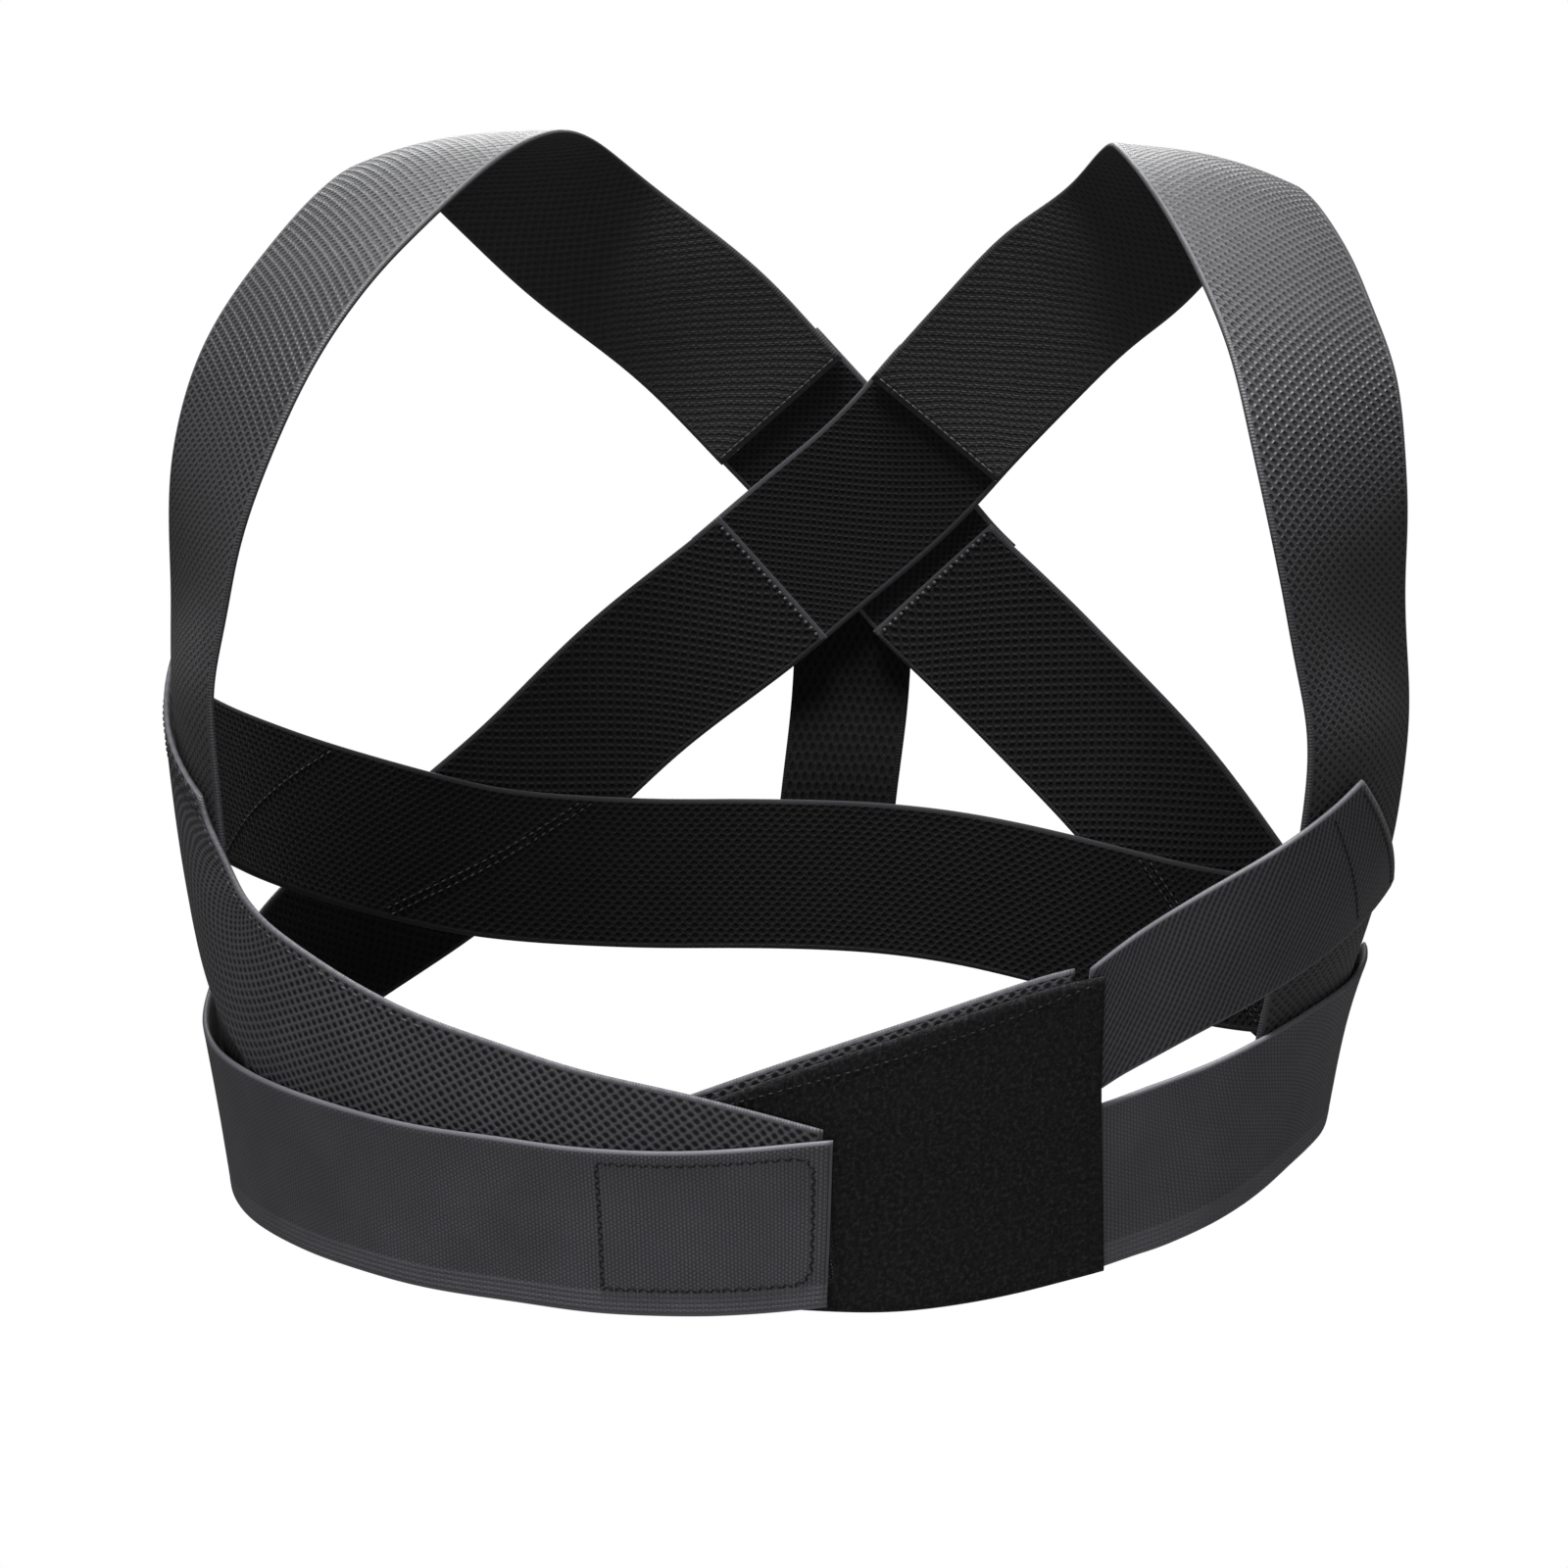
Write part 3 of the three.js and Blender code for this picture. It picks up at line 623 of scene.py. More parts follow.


# %% [markdown]
# ## Colour and weave
# The straps are woven elastic: pairs of threads cross and leave small staggered holes. Real
# threads would need millions of faces, so the weave is a formula in the material that moves only
# the light, and paints shade into the holes as a colour darker than the threads. It reads the
# cloth's own map, in millimetres, so it bends with every strip.
#
# A formula in a material is a chain of Math nodes. A `Signal` is one number that changes over the
# surface, and each sum or product of signals places a node, so a formula reads as it is written.

# %% Numbers that change over the surface
class Signal:
    """The output of a node. Operators between signals and numbers place Math nodes."""

    def __init__(self, tree, socket):
        self.tree, self.socket = tree, socket

    def __add__(self, other):
        return maths(self.tree, "ADD", self, other)

    def __sub__(self, other):
        return maths(self.tree, "SUBTRACT", self, other)

    def __rsub__(self, other):
        return maths(self.tree, "SUBTRACT", other, self)

    def __mul__(self, other):
        return maths(self.tree, "MULTIPLY", self, other)

    def __truediv__(self, other):
        return maths(self.tree, "DIVIDE", self, other)

    def __pow__(self, other):
        return maths(self.tree, "POWER", self, other)

    def humps(self, width):
        """|sin(pi x / width)|: rounded humps, one for each width."""
        turned = maths(self.tree, "SINE", self * (np.pi / width))
        return maths(self.tree, "ABSOLUTE", turned)


def put(tree, socket, value):
    """Links a signal or an output to an input, or sets the input to a plain value."""
    if isinstance(value, Signal):
        value = value.socket
    if isinstance(value, bpy.types.NodeSocket):
        tree.links.new(value, socket)
    else:
        socket.default_value = value


def maths(tree, operation, *values):
    """One Math node, with its inputs linked or set in order."""
    node = tree.nodes.new("ShaderNodeMath")
    node.operation = operation
    for socket, value in zip(node.inputs, values):
        put(tree, socket, value)
    return Signal(tree, node.outputs[0])


# %% Ramps, noise, mixes and places
def ramp_between(tree, value, low, high):
    """Smoothly from 0 at low to 1 at high."""
    node = tree.nodes.new("ShaderNodeMapRange")
    node.interpolation_type = "SMOOTHSTEP"
    for label, given in (("Value", value), ("From Min", low), ("From Max", high)):
        put(tree, node.inputs[label], given)
    return Signal(tree, node.outputs["Result"])


def noise(tree, vector, scale, detail=2.0, roughness=0.5):
    """Soft random values from 0 to 1, with about one lump for each 1 / scale."""
    node = tree.nodes.new("ShaderNodeTexNoise")
    settings = {"Vector": vector, "Scale": scale, "Detail": detail, "Roughness": roughness}
    for label, given in settings.items():
        put(tree, node.inputs[label], given)
    return Signal(tree, node.outputs["Fac"])


def mixed(tree, factor, a, b):
    """The colour a where the factor is 0, and b where it is 1."""
    node = tree.nodes.new("ShaderNodeMix")
    node.data_type = "RGBA"
    factor_input, a_input, b_input, colour_output = 0, 6, 7, 2
    for number, given in ((factor_input, factor), (a_input, a), (b_input, b)):
        put(tree, node.inputs[number], given)
    return node.outputs[colour_output]


def across_and_along(tree, place):
    """The two parts of a place on the cloth."""
    node = tree.nodes.new("ShaderNodeSeparateXYZ")
    put(tree, node.inputs[0], place)
    return Signal(tree, node.outputs[0]), Signal(tree, node.outputs[1])


# %% Node groups
PLACE, NUMBER, COLOUR = "NodeSocketVector", "NodeSocketFloat", "NodeSocketColor"


def new_group(name, inputs, outputs):
    """A shader node group: its tree, its inputs as signals by name, and its output node."""
    tree = bpy.data.node_groups.new(name, "ShaderNodeTree")
    for label, kind, value in inputs:
        socket = tree.interface.new_socket(label, in_out="INPUT", socket_type=kind)
        if value is not None:
            socket.default_value = value
    for label, kind in outputs:
        tree.interface.new_socket(label, in_out="OUTPUT", socket_type=kind)
    given = tree.nodes.new("NodeGroupInput")
    signals = {label: Signal(tree, given.outputs[label]) for label, _, _ in inputs}
    return tree, signals, tree.nodes.new("NodeGroupOutput")


def place_group(tree, group, values):
    """Puts a group into a material with its own values, and gives back its outputs."""
    node = tree.nodes.new("ShaderNodeGroup")
    node.node_tree = group
    for label, value in values.items():
        put(tree, node.inputs[label], value)
    return node.outputs


# %% [markdown]
# In the open weave, two slanting sets of threads are two sines of the place, one of across plus
# along and one of across minus along. Where both are far from zero there is a hole. With less
# crossing the second set fades, and the holes run together into slanting grooves, as where the
# elastic is stretched over the shoulder. A finer sine gives each thread the twist of its fibres.
# All the coarse strips and the smooth band in front are woven this way, at scales of their own.

# %% The open weave
OPEN_DRIFT = 0.11
HOLE_FULL = 0.95
FIBRE_TURNS = 6
THREAD_RISE, OVER_RISE, TWIST_RISE = 0.8, 0.35, 0.04


def thread_counts(tree, given, drift_scale):
    """Place over pitch, across and along, plus a slow drift, because no weave is quite even."""
    across, along = across_and_along(tree, given["Place"])
    drift = (noise(tree, given["Place"], drift_scale, detail=1.0) - 0.5) * given["Looseness"]
    return across / given["Pitch across"] + drift, along / given["Pitch along"] + drift


def open_weave():
    """Hole is |sin pi(a + b)| times 1 - crossing (1 - |sin pi(a - b)|); thread is the rest."""
    tree, given, made = new_group(
        "Open weave",
        [("Place", PLACE, None), ("Pitch across", NUMBER, 2.4), ("Pitch along", NUMBER, 2.9),
         ("Hole size", NUMBER, 0.5), ("Crossing", NUMBER, 1.0), ("Looseness", NUMBER, 0.25)],
        [("Thread", NUMBER), ("Height", NUMBER)],
    )
    a, b = thread_counts(tree, given, OPEN_DRIFT)
    one, two = (a + b).humps(1), (a - b).humps(1)
    hole = one * (1.0 - given["Crossing"] * (1.0 - two))
    thread = 1.0 - ramp_between(tree, hole, 1.0 - given["Hole size"], HOLE_FULL)
    twist = maths(tree, "SINE", (a + b) * (FIBRE_TURNS * np.pi))
    height = thread * THREAD_RISE + (one - 0.5) * OVER_RISE + twist * TWIST_RISE
    put(tree, made.inputs["Thread"], thread)
    put(tree, made.inputs["Height"], height)
    return tree


OPEN_WEAVE = open_weave()
print("nodes in the open weave:", len(OPEN_WEAVE.nodes))

# %% [markdown]
# The belts and the hook tape are woven tighter, in rows of short floats like bricks in a wall. The
# formula shifts every second row by half a float, and rounds each float with two sines.

# %% The weave of the belts and the hook tape
BRICK_DRIFT = 0.2
FLOAT_ROUNDING = 0.6
FLOAT_FROM, FLOAT_FULL = 0.1, 0.85


def brick_weave():
    """Height is |sin pi(a + shift)| times |sin pi b|, each to a power that flattens the float."""
    tree, given, made = new_group(
        "Brick weave",
        [("Place", PLACE, None), ("Pitch across", NUMBER, 1.4), ("Pitch along", NUMBER, 1.1),
         ("Looseness", NUMBER, 0.3)],
        [("Thread", NUMBER), ("Height", NUMBER)],
    )
    a, b = thread_counts(tree, given, BRICK_DRIFT)
    shift = maths(tree, "MODULO", maths(tree, "FLOOR", b), 2.0) * 0.5
    height = (a + shift).humps(1) ** FLOAT_ROUNDING * b.humps(1) ** FLOAT_ROUNDING
    # The thread mask follows the height, so the gaps between floats get the painted shade.
    put(tree, made.inputs["Thread"], ramp_between(tree, height, FLOAT_FROM, FLOAT_FULL))
    put(tree, made.inputs["Height"], height)
    return tree


BRICK_WEAVE = brick_weave()
print("nodes in the brick weave:", len(BRICK_WEAVE.nodes))

# %% [markdown]
# Every strip has a selvedge: threads packed so tightly that the edge is smooth and wears paler.
# Its paler colour is partly that wear and partly painted highlight for the light the smooth edge
# catches. The belts also have a ribbed border along their lower edge. One group blends a strip's
# weave into both, and adds the lint and the slow changes of tone that any black elastic shows.
# Its masks come from the distance to the edge that was stored on the mesh.

# %% Masks of the edge, the border and the fibres
EDGE_SOFTNESS = 0.75
BORDER_SOFTNESS = 0.5
FIBRE_SCALE = 2.6


def masks_of(tree, given):
    """Each mask runs from 0 to 1: inside the edge, on the edge, on the border, and the fibres."""
    across, _ = across_and_along(tree, given["Place"])
    edge_width, start = given["Edge width"], given["Border from"]
    inside = ramp_between(tree, given["Edge"], edge_width * EDGE_SOFTNESS, edge_width)
    border = 1.0 - ramp_between(tree, across, start, start + BORDER_SOFTNESS)
    fibres = noise(tree, given["Place"], FIBRE_SCALE, detail=3.0, roughness=0.65)
    return SimpleNamespace(inside=inside, edge=1.0 - inside, border=border, fibres=fibres)


# %% [markdown]
# The colour goes from the painted shade of the holes to thread, then towards the paler edge colour
# with lint, border and edge; at the edge that paler colour is partly painted highlight. The face
# that lies on the wearer is darker: partly painted shade, as it sees less light, and partly its own
# yarn, as it gathers no fluff.

# %% Colour of the cloth
LINT_FROM, LINT_FULL = 0.55, 0.78
BORDER_TINT, EDGE_WEAR_AND_HIGHLIGHT = 0.45, 0.85
TONE_SCALE, TONE_LOW, TONE_RANGE = 0.045, 0.72, 0.56
INNER_YARN_AND_PAINTED_SHADE = 0.6


def colour_of(tree, given, masks):
    """Three mixes towards the edge colour, then a brightness from tone and from the inner face's
    painted shade.
    """
    lint = ramp_between(tree, masks.fibres, LINT_FROM, LINT_FULL) * given["Lint"]
    # Painted shade: the holes, and the gaps between floats, take the dark hole colour.
    colour = mixed(tree, given["Thread"], given["Painted hole shade"], given["Thread colour"])
    # The edge mix is partly wear and partly painted highlight on the selvedge and the end lines.
    for share in (lint * given["Thread"], masks.border * BORDER_TINT, masks.edge * EDGE_WEAR_AND_HIGHLIGHT):
        colour = mixed(tree, share, colour, given["Edge colour"])
    tone = noise(tree, given["Place"], TONE_SCALE, detail=3.0) * TONE_RANGE + TONE_LOW
    shade = tree.nodes.new("ShaderNodeHueSaturation")
    # Painted shade: the inner face is darker, partly for the light it misses, partly for its own
    # yarn.
    put(tree, shade.inputs["Value"], (1.0 - given["Inner face"] * INNER_YARN_AND_PAINTED_SHADE) * tone)
    put(tree, shade.inputs["Color"], colour)
    return shade.outputs[0]


# %% Height and roughness of the cloth
RIB_WIDTH, RIB_RISE, EDGE_RISE = 0.9, 0.18, 0.75
CORD_WIDTH, CORD_RISE = 1.5, 1.6
FIBRE_RISE = 0.16
ROUGH_LOW, ROUGH_FIBRES, ROUGH_INNER = 0.38, 0.3, 0.25


def height_of(tree, given, masks):
    """The weave inside the edge, small ribs on it, cords in the border and fibres all over."""
    across, along = across_and_along(tree, given["Place"])
    edge_height = along.humps(RIB_WIDTH) * RIB_RISE + EDGE_RISE
    height = given["Height"] * masks.inside + edge_height * masks.edge
    cords = across.humps(CORD_WIDTH) * masks.border * CORD_RISE
    return height + cords + masks.fibres * FIBRE_RISE


def roughness_of(given, masks):
    """Rougher where the fibres stand up, and rougher still on the inner face."""
    return masks.fibres * ROUGH_FIBRES + ROUGH_LOW + given["Inner face"] * ROUGH_INNER


# %% The selvedge, lint and changes of tone
NO_BORDER = -99.0


def selvedge_group():
    """The group round the three formulas above."""
    tree, given, made = new_group(
        "Selvedge and lint",
        [("Place", PLACE, None), ("Edge", NUMBER, 10.0), ("Thread", NUMBER, 1.0),
         ("Height", NUMBER, 0.5), ("Painted hole shade", COLOUR, (0.002, 0.002, 0.003, 1)),
         ("Thread colour", COLOUR, (0.02, 0.02, 0.024, 1)),
         ("Edge colour", COLOUR, (0.05, 0.05, 0.055, 1)), ("Edge width", NUMBER, 1.7),
         ("Lint", NUMBER, 0.5), ("Border from", NUMBER, NO_BORDER), ("Inner face", NUMBER, 0.0)],
        [("Color", COLOUR), ("Height", NUMBER), ("Roughness", NUMBER)],
    )
    masks = masks_of(tree, given)
    put(tree, made.inputs["Color"], colour_of(tree, given, masks))
    put(tree, made.inputs["Height"], height_of(tree, given, masks))
    put(tree, made.inputs["Roughness"], roughness_of(given, masks))
    return tree


SELVEDGE_AND_LINT = selvedge_group()
print("nodes in the selvedge group:", len(SELVEDGE_AND_LINT.nodes))

# %% [markdown]
# A material holds the groups, the shader and a bump. Whatever is the same all over the cloth, such
# as its sheen, is set on the shader itself.

# %% Parts that every material has
def start_material(name, settings):
    """A material with its Principled shader's plain values set."""
    material = bpy.data.materials.new(name)
    material.use_nodes = True
    shader = material.node_tree.nodes["Principled BSDF"]
    for label, value in settings.items():
        shader.inputs[label].default_value = value
    return material, material.node_tree, shader


def add_bump(tree, shader, height, relief):
    """Leans the light as a relief of so many millimetres would."""
    bump = tree.nodes.new("ShaderNodeBump")
    bump.inputs["Strength"].default_value = 1.0
    bump.inputs["Distance"].default_value = relief * MM
    put(tree, bump.inputs["Height"], height)
    put(tree, shader.inputs["Normal"], bump.outputs[0])


def cloth_place(tree):
    """The cloth's own map, in millimetres across and along."""
    node = tree.nodes.new("ShaderNodeUVMap")
    node.uv_map = CLOTH_MAP
    return node.outputs[0]


def stored(tree, label):
    """A value that was stored on the mesh's points."""
    node = tree.nodes.new("ShaderNodeAttribute")
    node.attribute_name = label
    return node.outputs["Fac"]


def grey(value, blue=1.12):
    """A near-neutral colour, a little bluer than grey."""
    return (value, value, value * blue, 1)


# %% Cloth materials
CLOTH_SHEEN, CLOTH_SHEEN_ROUGHNESS = 0.03, 0.45


def cloth_material(name, weave, weave_values, hole, thread, edge, lint=0.5, relief=0.5,
                   edge_width=1.7, border_from=NO_BORDER, specular=0.25):
    """Weave group, then selvedge group, then a Principled shader with a bump in millimetres."""
    material, tree, shader = start_material(name, {
        "Sheen Weight": CLOTH_SHEEN, "Sheen Roughness": CLOTH_SHEEN_ROUGHNESS,
        "Specular IOR Level": specular,
    })
    place = cloth_place(tree)
    woven = place_group(tree, weave, dict(weave_values, Place=place))
    finish = place_group(tree, SELVEDGE_AND_LINT, {
        "Place": place, "Edge": stored(tree, EDGE_VALUE), "Inner face": stored(tree, INNER_VALUE),
        "Thread": woven["Thread"], "Height": woven["Height"],
        "Painted hole shade": grey(hole), "Thread colour": grey(thread), "Edge colour": grey(edge),
        "Edge width": edge_width, "Lint": lint, "Border from": border_from,
    })
    put(tree, shader.inputs["Base Color"], finish["Color"])
    put(tree, shader.inputs["Roughness"], finish["Roughness"])
    add_bump(tree, shader, finish["Height"], relief)
    return material


def open_cloth(name, across, along, hole_size, crossing, **finish):
    """Cloth in the open weave, with its two pitches in millimetres."""
    return cloth_material(name, OPEN_WEAVE, {
        "Pitch across": across, "Pitch along": along, "Hole size": hole_size, "Crossing": crossing,
    }, **finish)


def brick_cloth(name, across, along, **finish):
    """Cloth in the brick weave, with its two pitches in millimetres."""
    pitches = {"Pitch across": across, "Pitch along": along}
    return cloth_material(name, BRICK_WEAVE, pitches, **finish)


# %% [markdown]
# The numbers below were set against the photograph: the straps over the shoulders are the palest
# and glossiest, the strips on the back are nearly black, and the belts are a smooth dark grey. A
# pitch across below zero slants the grooves the other way.

# %% The cloths
# hole is the colour of the painted shade in the holes; thread is the yarn's own colour.
STRAP_CLOTH = open_cloth(
    "strap elastic", -3.5, 3.1, 0.75, 0.6,
    hole=0.0012, thread=0.029, edge=0.036, relief=0.55, specular=0.45,
)
LEG_CLOTH = open_cloth(
    "leg elastic", 3.6, 3.4, 0.75, 0.8,
    hole=0.0006, thread=0.015, edge=0.055, relief=0.6, lint=0.2, specular=0.15,
)
SPINE_CLOTH = open_cloth(
    "spine elastic", 2.8, 6.0, 0.75, 0.9,
    hole=0.0005, thread=0.009, edge=0.01, relief=0.5, lint=0.3, specular=0.1,
)
BAND_CLOTH = open_cloth(
    "back band elastic", 3.3, 3.3, 0.75, 0.75,
    hole=0.0005, thread=0.011, edge=0.05, relief=0.5, lint=0.2, specular=0.12,
)
CROSS_CLOTH = open_cloth(
    "cross piece elastic", 2.9, 2.9, 0.8, 0.75,
    hole=0.0005, thread=0.014, edge=0.11, relief=0.4, lint=0.15, specular=0.15,
)
FRONT_CLOTH = open_cloth(
    "front band elastic", 3.3, 3.6, 0.95, 0.75,
    hole=0.0012, thread=0.1, edge=0.075, relief=0.6, specular=0.3,
)
SMOOTH_CLOTH = open_cloth(
    "smooth elastic", 2.4, 2.2, 0.9, 0.35,
    hole=0.02, thread=0.075, edge=0.1, relief=0.15, edge_width=1.2,
)
BELT_CLOTH = brick_cloth(
    "belt elastic", 1.3, 1.1,
    hole=0.04, thread=0.09, edge=0.12, relief=0.14, lint=0.7, edge_width=1.2, border_from=-18.0,
)
HOOK_CLOTH = brick_cloth(
    "hook tape", 1.0, 1.0, hole=0.002, thread=0.01, edge=0.015, relief=0.6,
)
print("cloths:", len(bpy.data.materials))

# %% [markdown]
# Loop pile is a mat of tiny curled threads with no direction. Three sizes of noise stand for the
# clumps, the curls and the single fibres. Tufts of real geometry would cost a million faces and
# look the same from an arm's length.

# %% The pile of the loop panel
CLUMP_SCALE, CURL_SCALE, PILE_FIBRE_SCALE = 0.25, 0.75, 4.5
PILE_SHADE, PILE_LIT, PILE_WORN = 0.0045, 0.042, 0.018
LIT_FROM, LIT_FULL = 0.46, 0.64
WORN_FROM, WORN_FULL, WORN_SHARE = 0.45, 0.75, 0.5
PILE_RELIEF = 0.9


def pile_material():
    """Painted highlight on high curls and fibres, painted shade below them, and a flatter grey
    where whole clumps stand up.
    """
    material, tree, shader = start_material("loop pile", {
        "Roughness": 0.95, "Sheen Weight": 0.04, "Sheen Roughness": 0.6, "Specular IOR Level": 0.1,
    })
    place = cloth_place(tree)
    clumps = noise(tree, place, CLUMP_SCALE, detail=3.0)
    curls = noise(tree, place, CURL_SCALE, detail=4.0, roughness=0.75)
    fibres = noise(tree, place, PILE_FIBRE_SCALE, roughness=0.6)
    lit = ramp_between(tree, curls * 0.7 + fibres * 0.3, LIT_FROM, LIT_FULL)
    worn = ramp_between(tree, clumps, WORN_FROM, WORN_FULL) * WORN_SHARE
    colour = mixed(tree, worn, mixed(tree, lit, grey(PILE_SHADE), grey(PILE_LIT)), grey(PILE_WORN))
    put(tree, shader.inputs["Base Color"], colour)
    add_bump(tree, shader, curls + fibres * 0.5, PILE_RELIEF)
    return material


LOOP_PILE = pile_material()
print("nodes in the loop pile:", len(LOOP_PILE.node_tree.nodes))

# %% [markdown]
# Sewing thread is polyester, smoother than the elastic round it. Seams that catch the light on
# the back are pale, a colour that paints that light as a highlight; the rest are nearly black, so
# that they show on the grey bands.

# %% Thread
STRAND_SCALE = 2500.0
STRAND_RELIEF = 0.15
STRAND_DARKER, STRAND_PALER = 0.6, 1.4


def thread_material(name, value):
    """Fine noise between a darker and a paler shade of the thread, and the same as a relief."""
    material, tree, shader = start_material(name, {"Roughness": 0.5, "Specular IOR Level": 0.3})
    place = tree.nodes.new("ShaderNodeTexCoord").outputs["Object"]
    strands = noise(tree, place, STRAND_SCALE)
    colour = mixed(tree, strands, grey(value * STRAND_DARKER), grey(value * STRAND_PALER))
    put(tree, shader.inputs["Base Color"], colour)
    add_bump(tree, shader, strands, STRAND_RELIEF)
    return material


# Painted highlight: the pale thread stands for seams on the back that catch the light.
PALE_HIGHLIGHT_THREAD = thread_material("pale highlight thread", 0.045)
DARK_THREAD = thread_material("dark thread", 0.006)
print("materials:", len(bpy.data.materials))

# %% [markdown]
# ## The back
# The pull of the shoulders runs through the crossing: each shoulder strap ends on a middle piece,
# and the leg below starts on its other end. Seen from the front, the ends of straps and legs lie
# on the near side of those middle pieces. Each strip is one call.

# %% Shoulder straps
right_strap = shoulder_strip(OUTER_DIAGONAL, RIGHT_BELT, -1)
cloth("right_shoulder_strap_elastic", "right_shoulder_strap", STRAP_CLOTH, right_strap, seed=11,
      end_lines=True)
left_strap = shoulder_strip(INNER_DIAGONAL, LEFT_BELT, 1)
cloth("left_shoulder_strap_elastic", "left_shoulder_strap", STRAP_CLOTH, left_strap, seed=12,
      end_lines=True)
print("shoulder straps, mm:", round(right_strap.along[-1]), round(left_strap.along[-1]))

# %% The two middle pieces of the crossing
CROSS_REACH = CROSS_SEAM + CROSS_OVERLAP
CROSS_WAVE = 0.08


def cross_piece(diagonal, layer, mirror):
    """The middle of a diagonal in a layer of its own, as far to each side as its seams need."""
    raised = [dict(row, layer=layer) for row in diagonal]
    ends = [turn_at_distance(diagonal, side * CROSS_REACH) for side in (-1, 1)]
    return strip_on_form(raised, *ends, WEBBING_WIDTH, mirror)


right_cross = cross_piece(OUTER_DIAGONAL, 2, 1)
cloth("right_cross_strap_elastic", "right_cross_strap", CROSS_CLOTH, right_cross, seed=13,
      wave=CROSS_WAVE, end_lines=True)
left_cross = cross_piece(INNER_DIAGONAL, 1, -1)
cloth("left_cross_strap_elastic", "left_cross_strap", CROSS_CLOTH, left_cross, seed=14,
      wave=CROSS_WAVE, end_lines=True)
print("cross pieces, mm:", round(right_cross.along[-1]), round(left_cross.along[-1]))

# %% The legs, down to where the belts take over
LEG_END_TURN = 88
right_leg = strip_on_form(
    INNER_DIAGONAL, turn_at_distance(INNER_DIAGONAL, CROSS_SEAM), LEG_END_TURN, WEBBING_WIDTH, -1
)
cloth("right_back_leg_elastic", "right_back_leg", LEG_CLOTH, right_leg, seed=15,
      end_lines=True)
left_leg = strip_on_form(
    OUTER_DIAGONAL, turn_at_distance(OUTER_DIAGONAL, CROSS_SEAM), LEG_END_TURN, WEBBING_WIDTH, 1
)
cloth("left_back_leg_elastic", "left_back_leg", LEG_CLOTH, left_leg, seed=16,
      end_lines=True)

# %% The band across the back
SIDE_TURN = 102
BACK_BAND_ENDS = (-SIDE_TURN - 1, SIDE_TURN)
back_band = strip_on_form(BACK_BAND, *BACK_BAND_ENDS, BACK_BAND_WIDTH)
cloth("back_band_elastic", "back_band", BAND_CLOTH, back_band, seed=17)

# %% [markdown]
# The short upright strap starts outside the crossing and is drawn in behind the back band, so its
# layer falls from three to none on the way down, in the same eased curve as between rows of a
# table.

# %% The spine strap
SPINE_TOP, SPINE_BOTTOM, SPINE_TURN = 158, 62, -1.0
SPINE_LAYERS = 3
SPINE_FALL_START, SPINE_FALL_SHARE = 0.3, 0.3
SPINE_WAVE = 0.1


def spine_strip():
    """Rows straight across the back, one under the other."""
    rows = 1 + int((SPINE_TOP - SPINE_BOTTOM) / ROW_STEP)
    heights = np.linspace(SPINE_TOP, SPINE_BOTTOM, rows)[:, None]
    fallen = np.clip((np.linspace(0, 1, rows) - SPINE_FALL_START) / SPINE_FALL_SHARE, 0, 1)[:, None]
    layers = SPINE_LAYERS - SPINE_LAYERS * fallen**2 * (3 - 2 * fallen)
    turns, heights = walk(
        SPINE_TURN + 0 * heights + 0 * ACROSS, heights + 0 * ACROSS,
        SPINE_WIDTH * ACROSS[None, :], 0.0,
    )
    return strip(on_form(turns, heights, layers + 0 * turns), SPINE_WIDTH)


cloth("spine_strap_elastic", "spine_strap", SPINE_CLOTH, spine_strip(), seed=18, wave=SPINE_WAVE)

# %% [markdown]
# ## The front
# The coarse band comes down from the right side and ends behind the tab. The belt on the same side
# carries the tab itself. On the left, a smooth band and a belt end behind the edge of the panel.

# %% Where the strips in front start and end
BELT_START_TURN = 83
TAB_END_TURN = 199
COVERED_END_TURN = TAB_END_TURN - 2
PANEL_EDGE_TURN = 131.5
PANEL_EDGE_LEAN = 0.12
BACKING_EDGE_TURN = PANEL_EDGE_TURN + 3
BAND_TUCK_TURN = PANEL_EDGE_TURN + 0.7
BELT_TUCK_TURN = PANEL_EDGE_TURN - 1.8
LEFT_BAND_SKEW = 0.35

# %% Bands and belts
right_band = strip_on_form(
    RIGHT_BAND, SIDE_TURN - 0.5, COVERED_END_TURN + 0.5, WEBBING_WIDTH, -1,
    start_skew=1, upright=True,
)
cloth("right_front_band_elastic", "right_front_band", FRONT_CLOTH, right_band, seed=19,
      end_lines=True)
left_band = strip_on_form(
    LEFT_BAND, SIDE_TURN, BAND_TUCK_TURN, (LEFT_BAND_WIDE_END, LEFT_BAND_NARROW_END), 1,
    start_skew=LEFT_BAND_SKEW, upright=True, end_lean=PANEL_EDGE_LEAN,
)
cloth("left_front_band_elastic", "left_front_band", SMOOTH_CLOTH, left_band, seed=20,
      end_lines=True)
right_belt = strip_on_form(
    RIGHT_BELT, BELT_START_TURN, TAB_END_TURN, WEBBING_WIDTH, -1, upright=True
)
cloth("right_lower_belt_elastic", "right_lower_belt", BELT_CLOTH, right_belt, seed=21,
      end_lines=True)
left_belt = strip_on_form(
    LEFT_BELT, BELT_START_TURN, BELT_TUCK_TURN, WEBBING_WIDTH, 1,
    upright=True, end_lean=PANEL_EDGE_LEAN,
)
cloth("left_lower_belt_elastic", "left_lower_belt", BELT_CLOTH, left_belt, seed=22)

# %% [markdown]
# The closure is a wedge of cloth with loop pile on it. Its lower and upper edges are curves of
# height against turn, its near edge slants, and its other end is hidden by the tab.

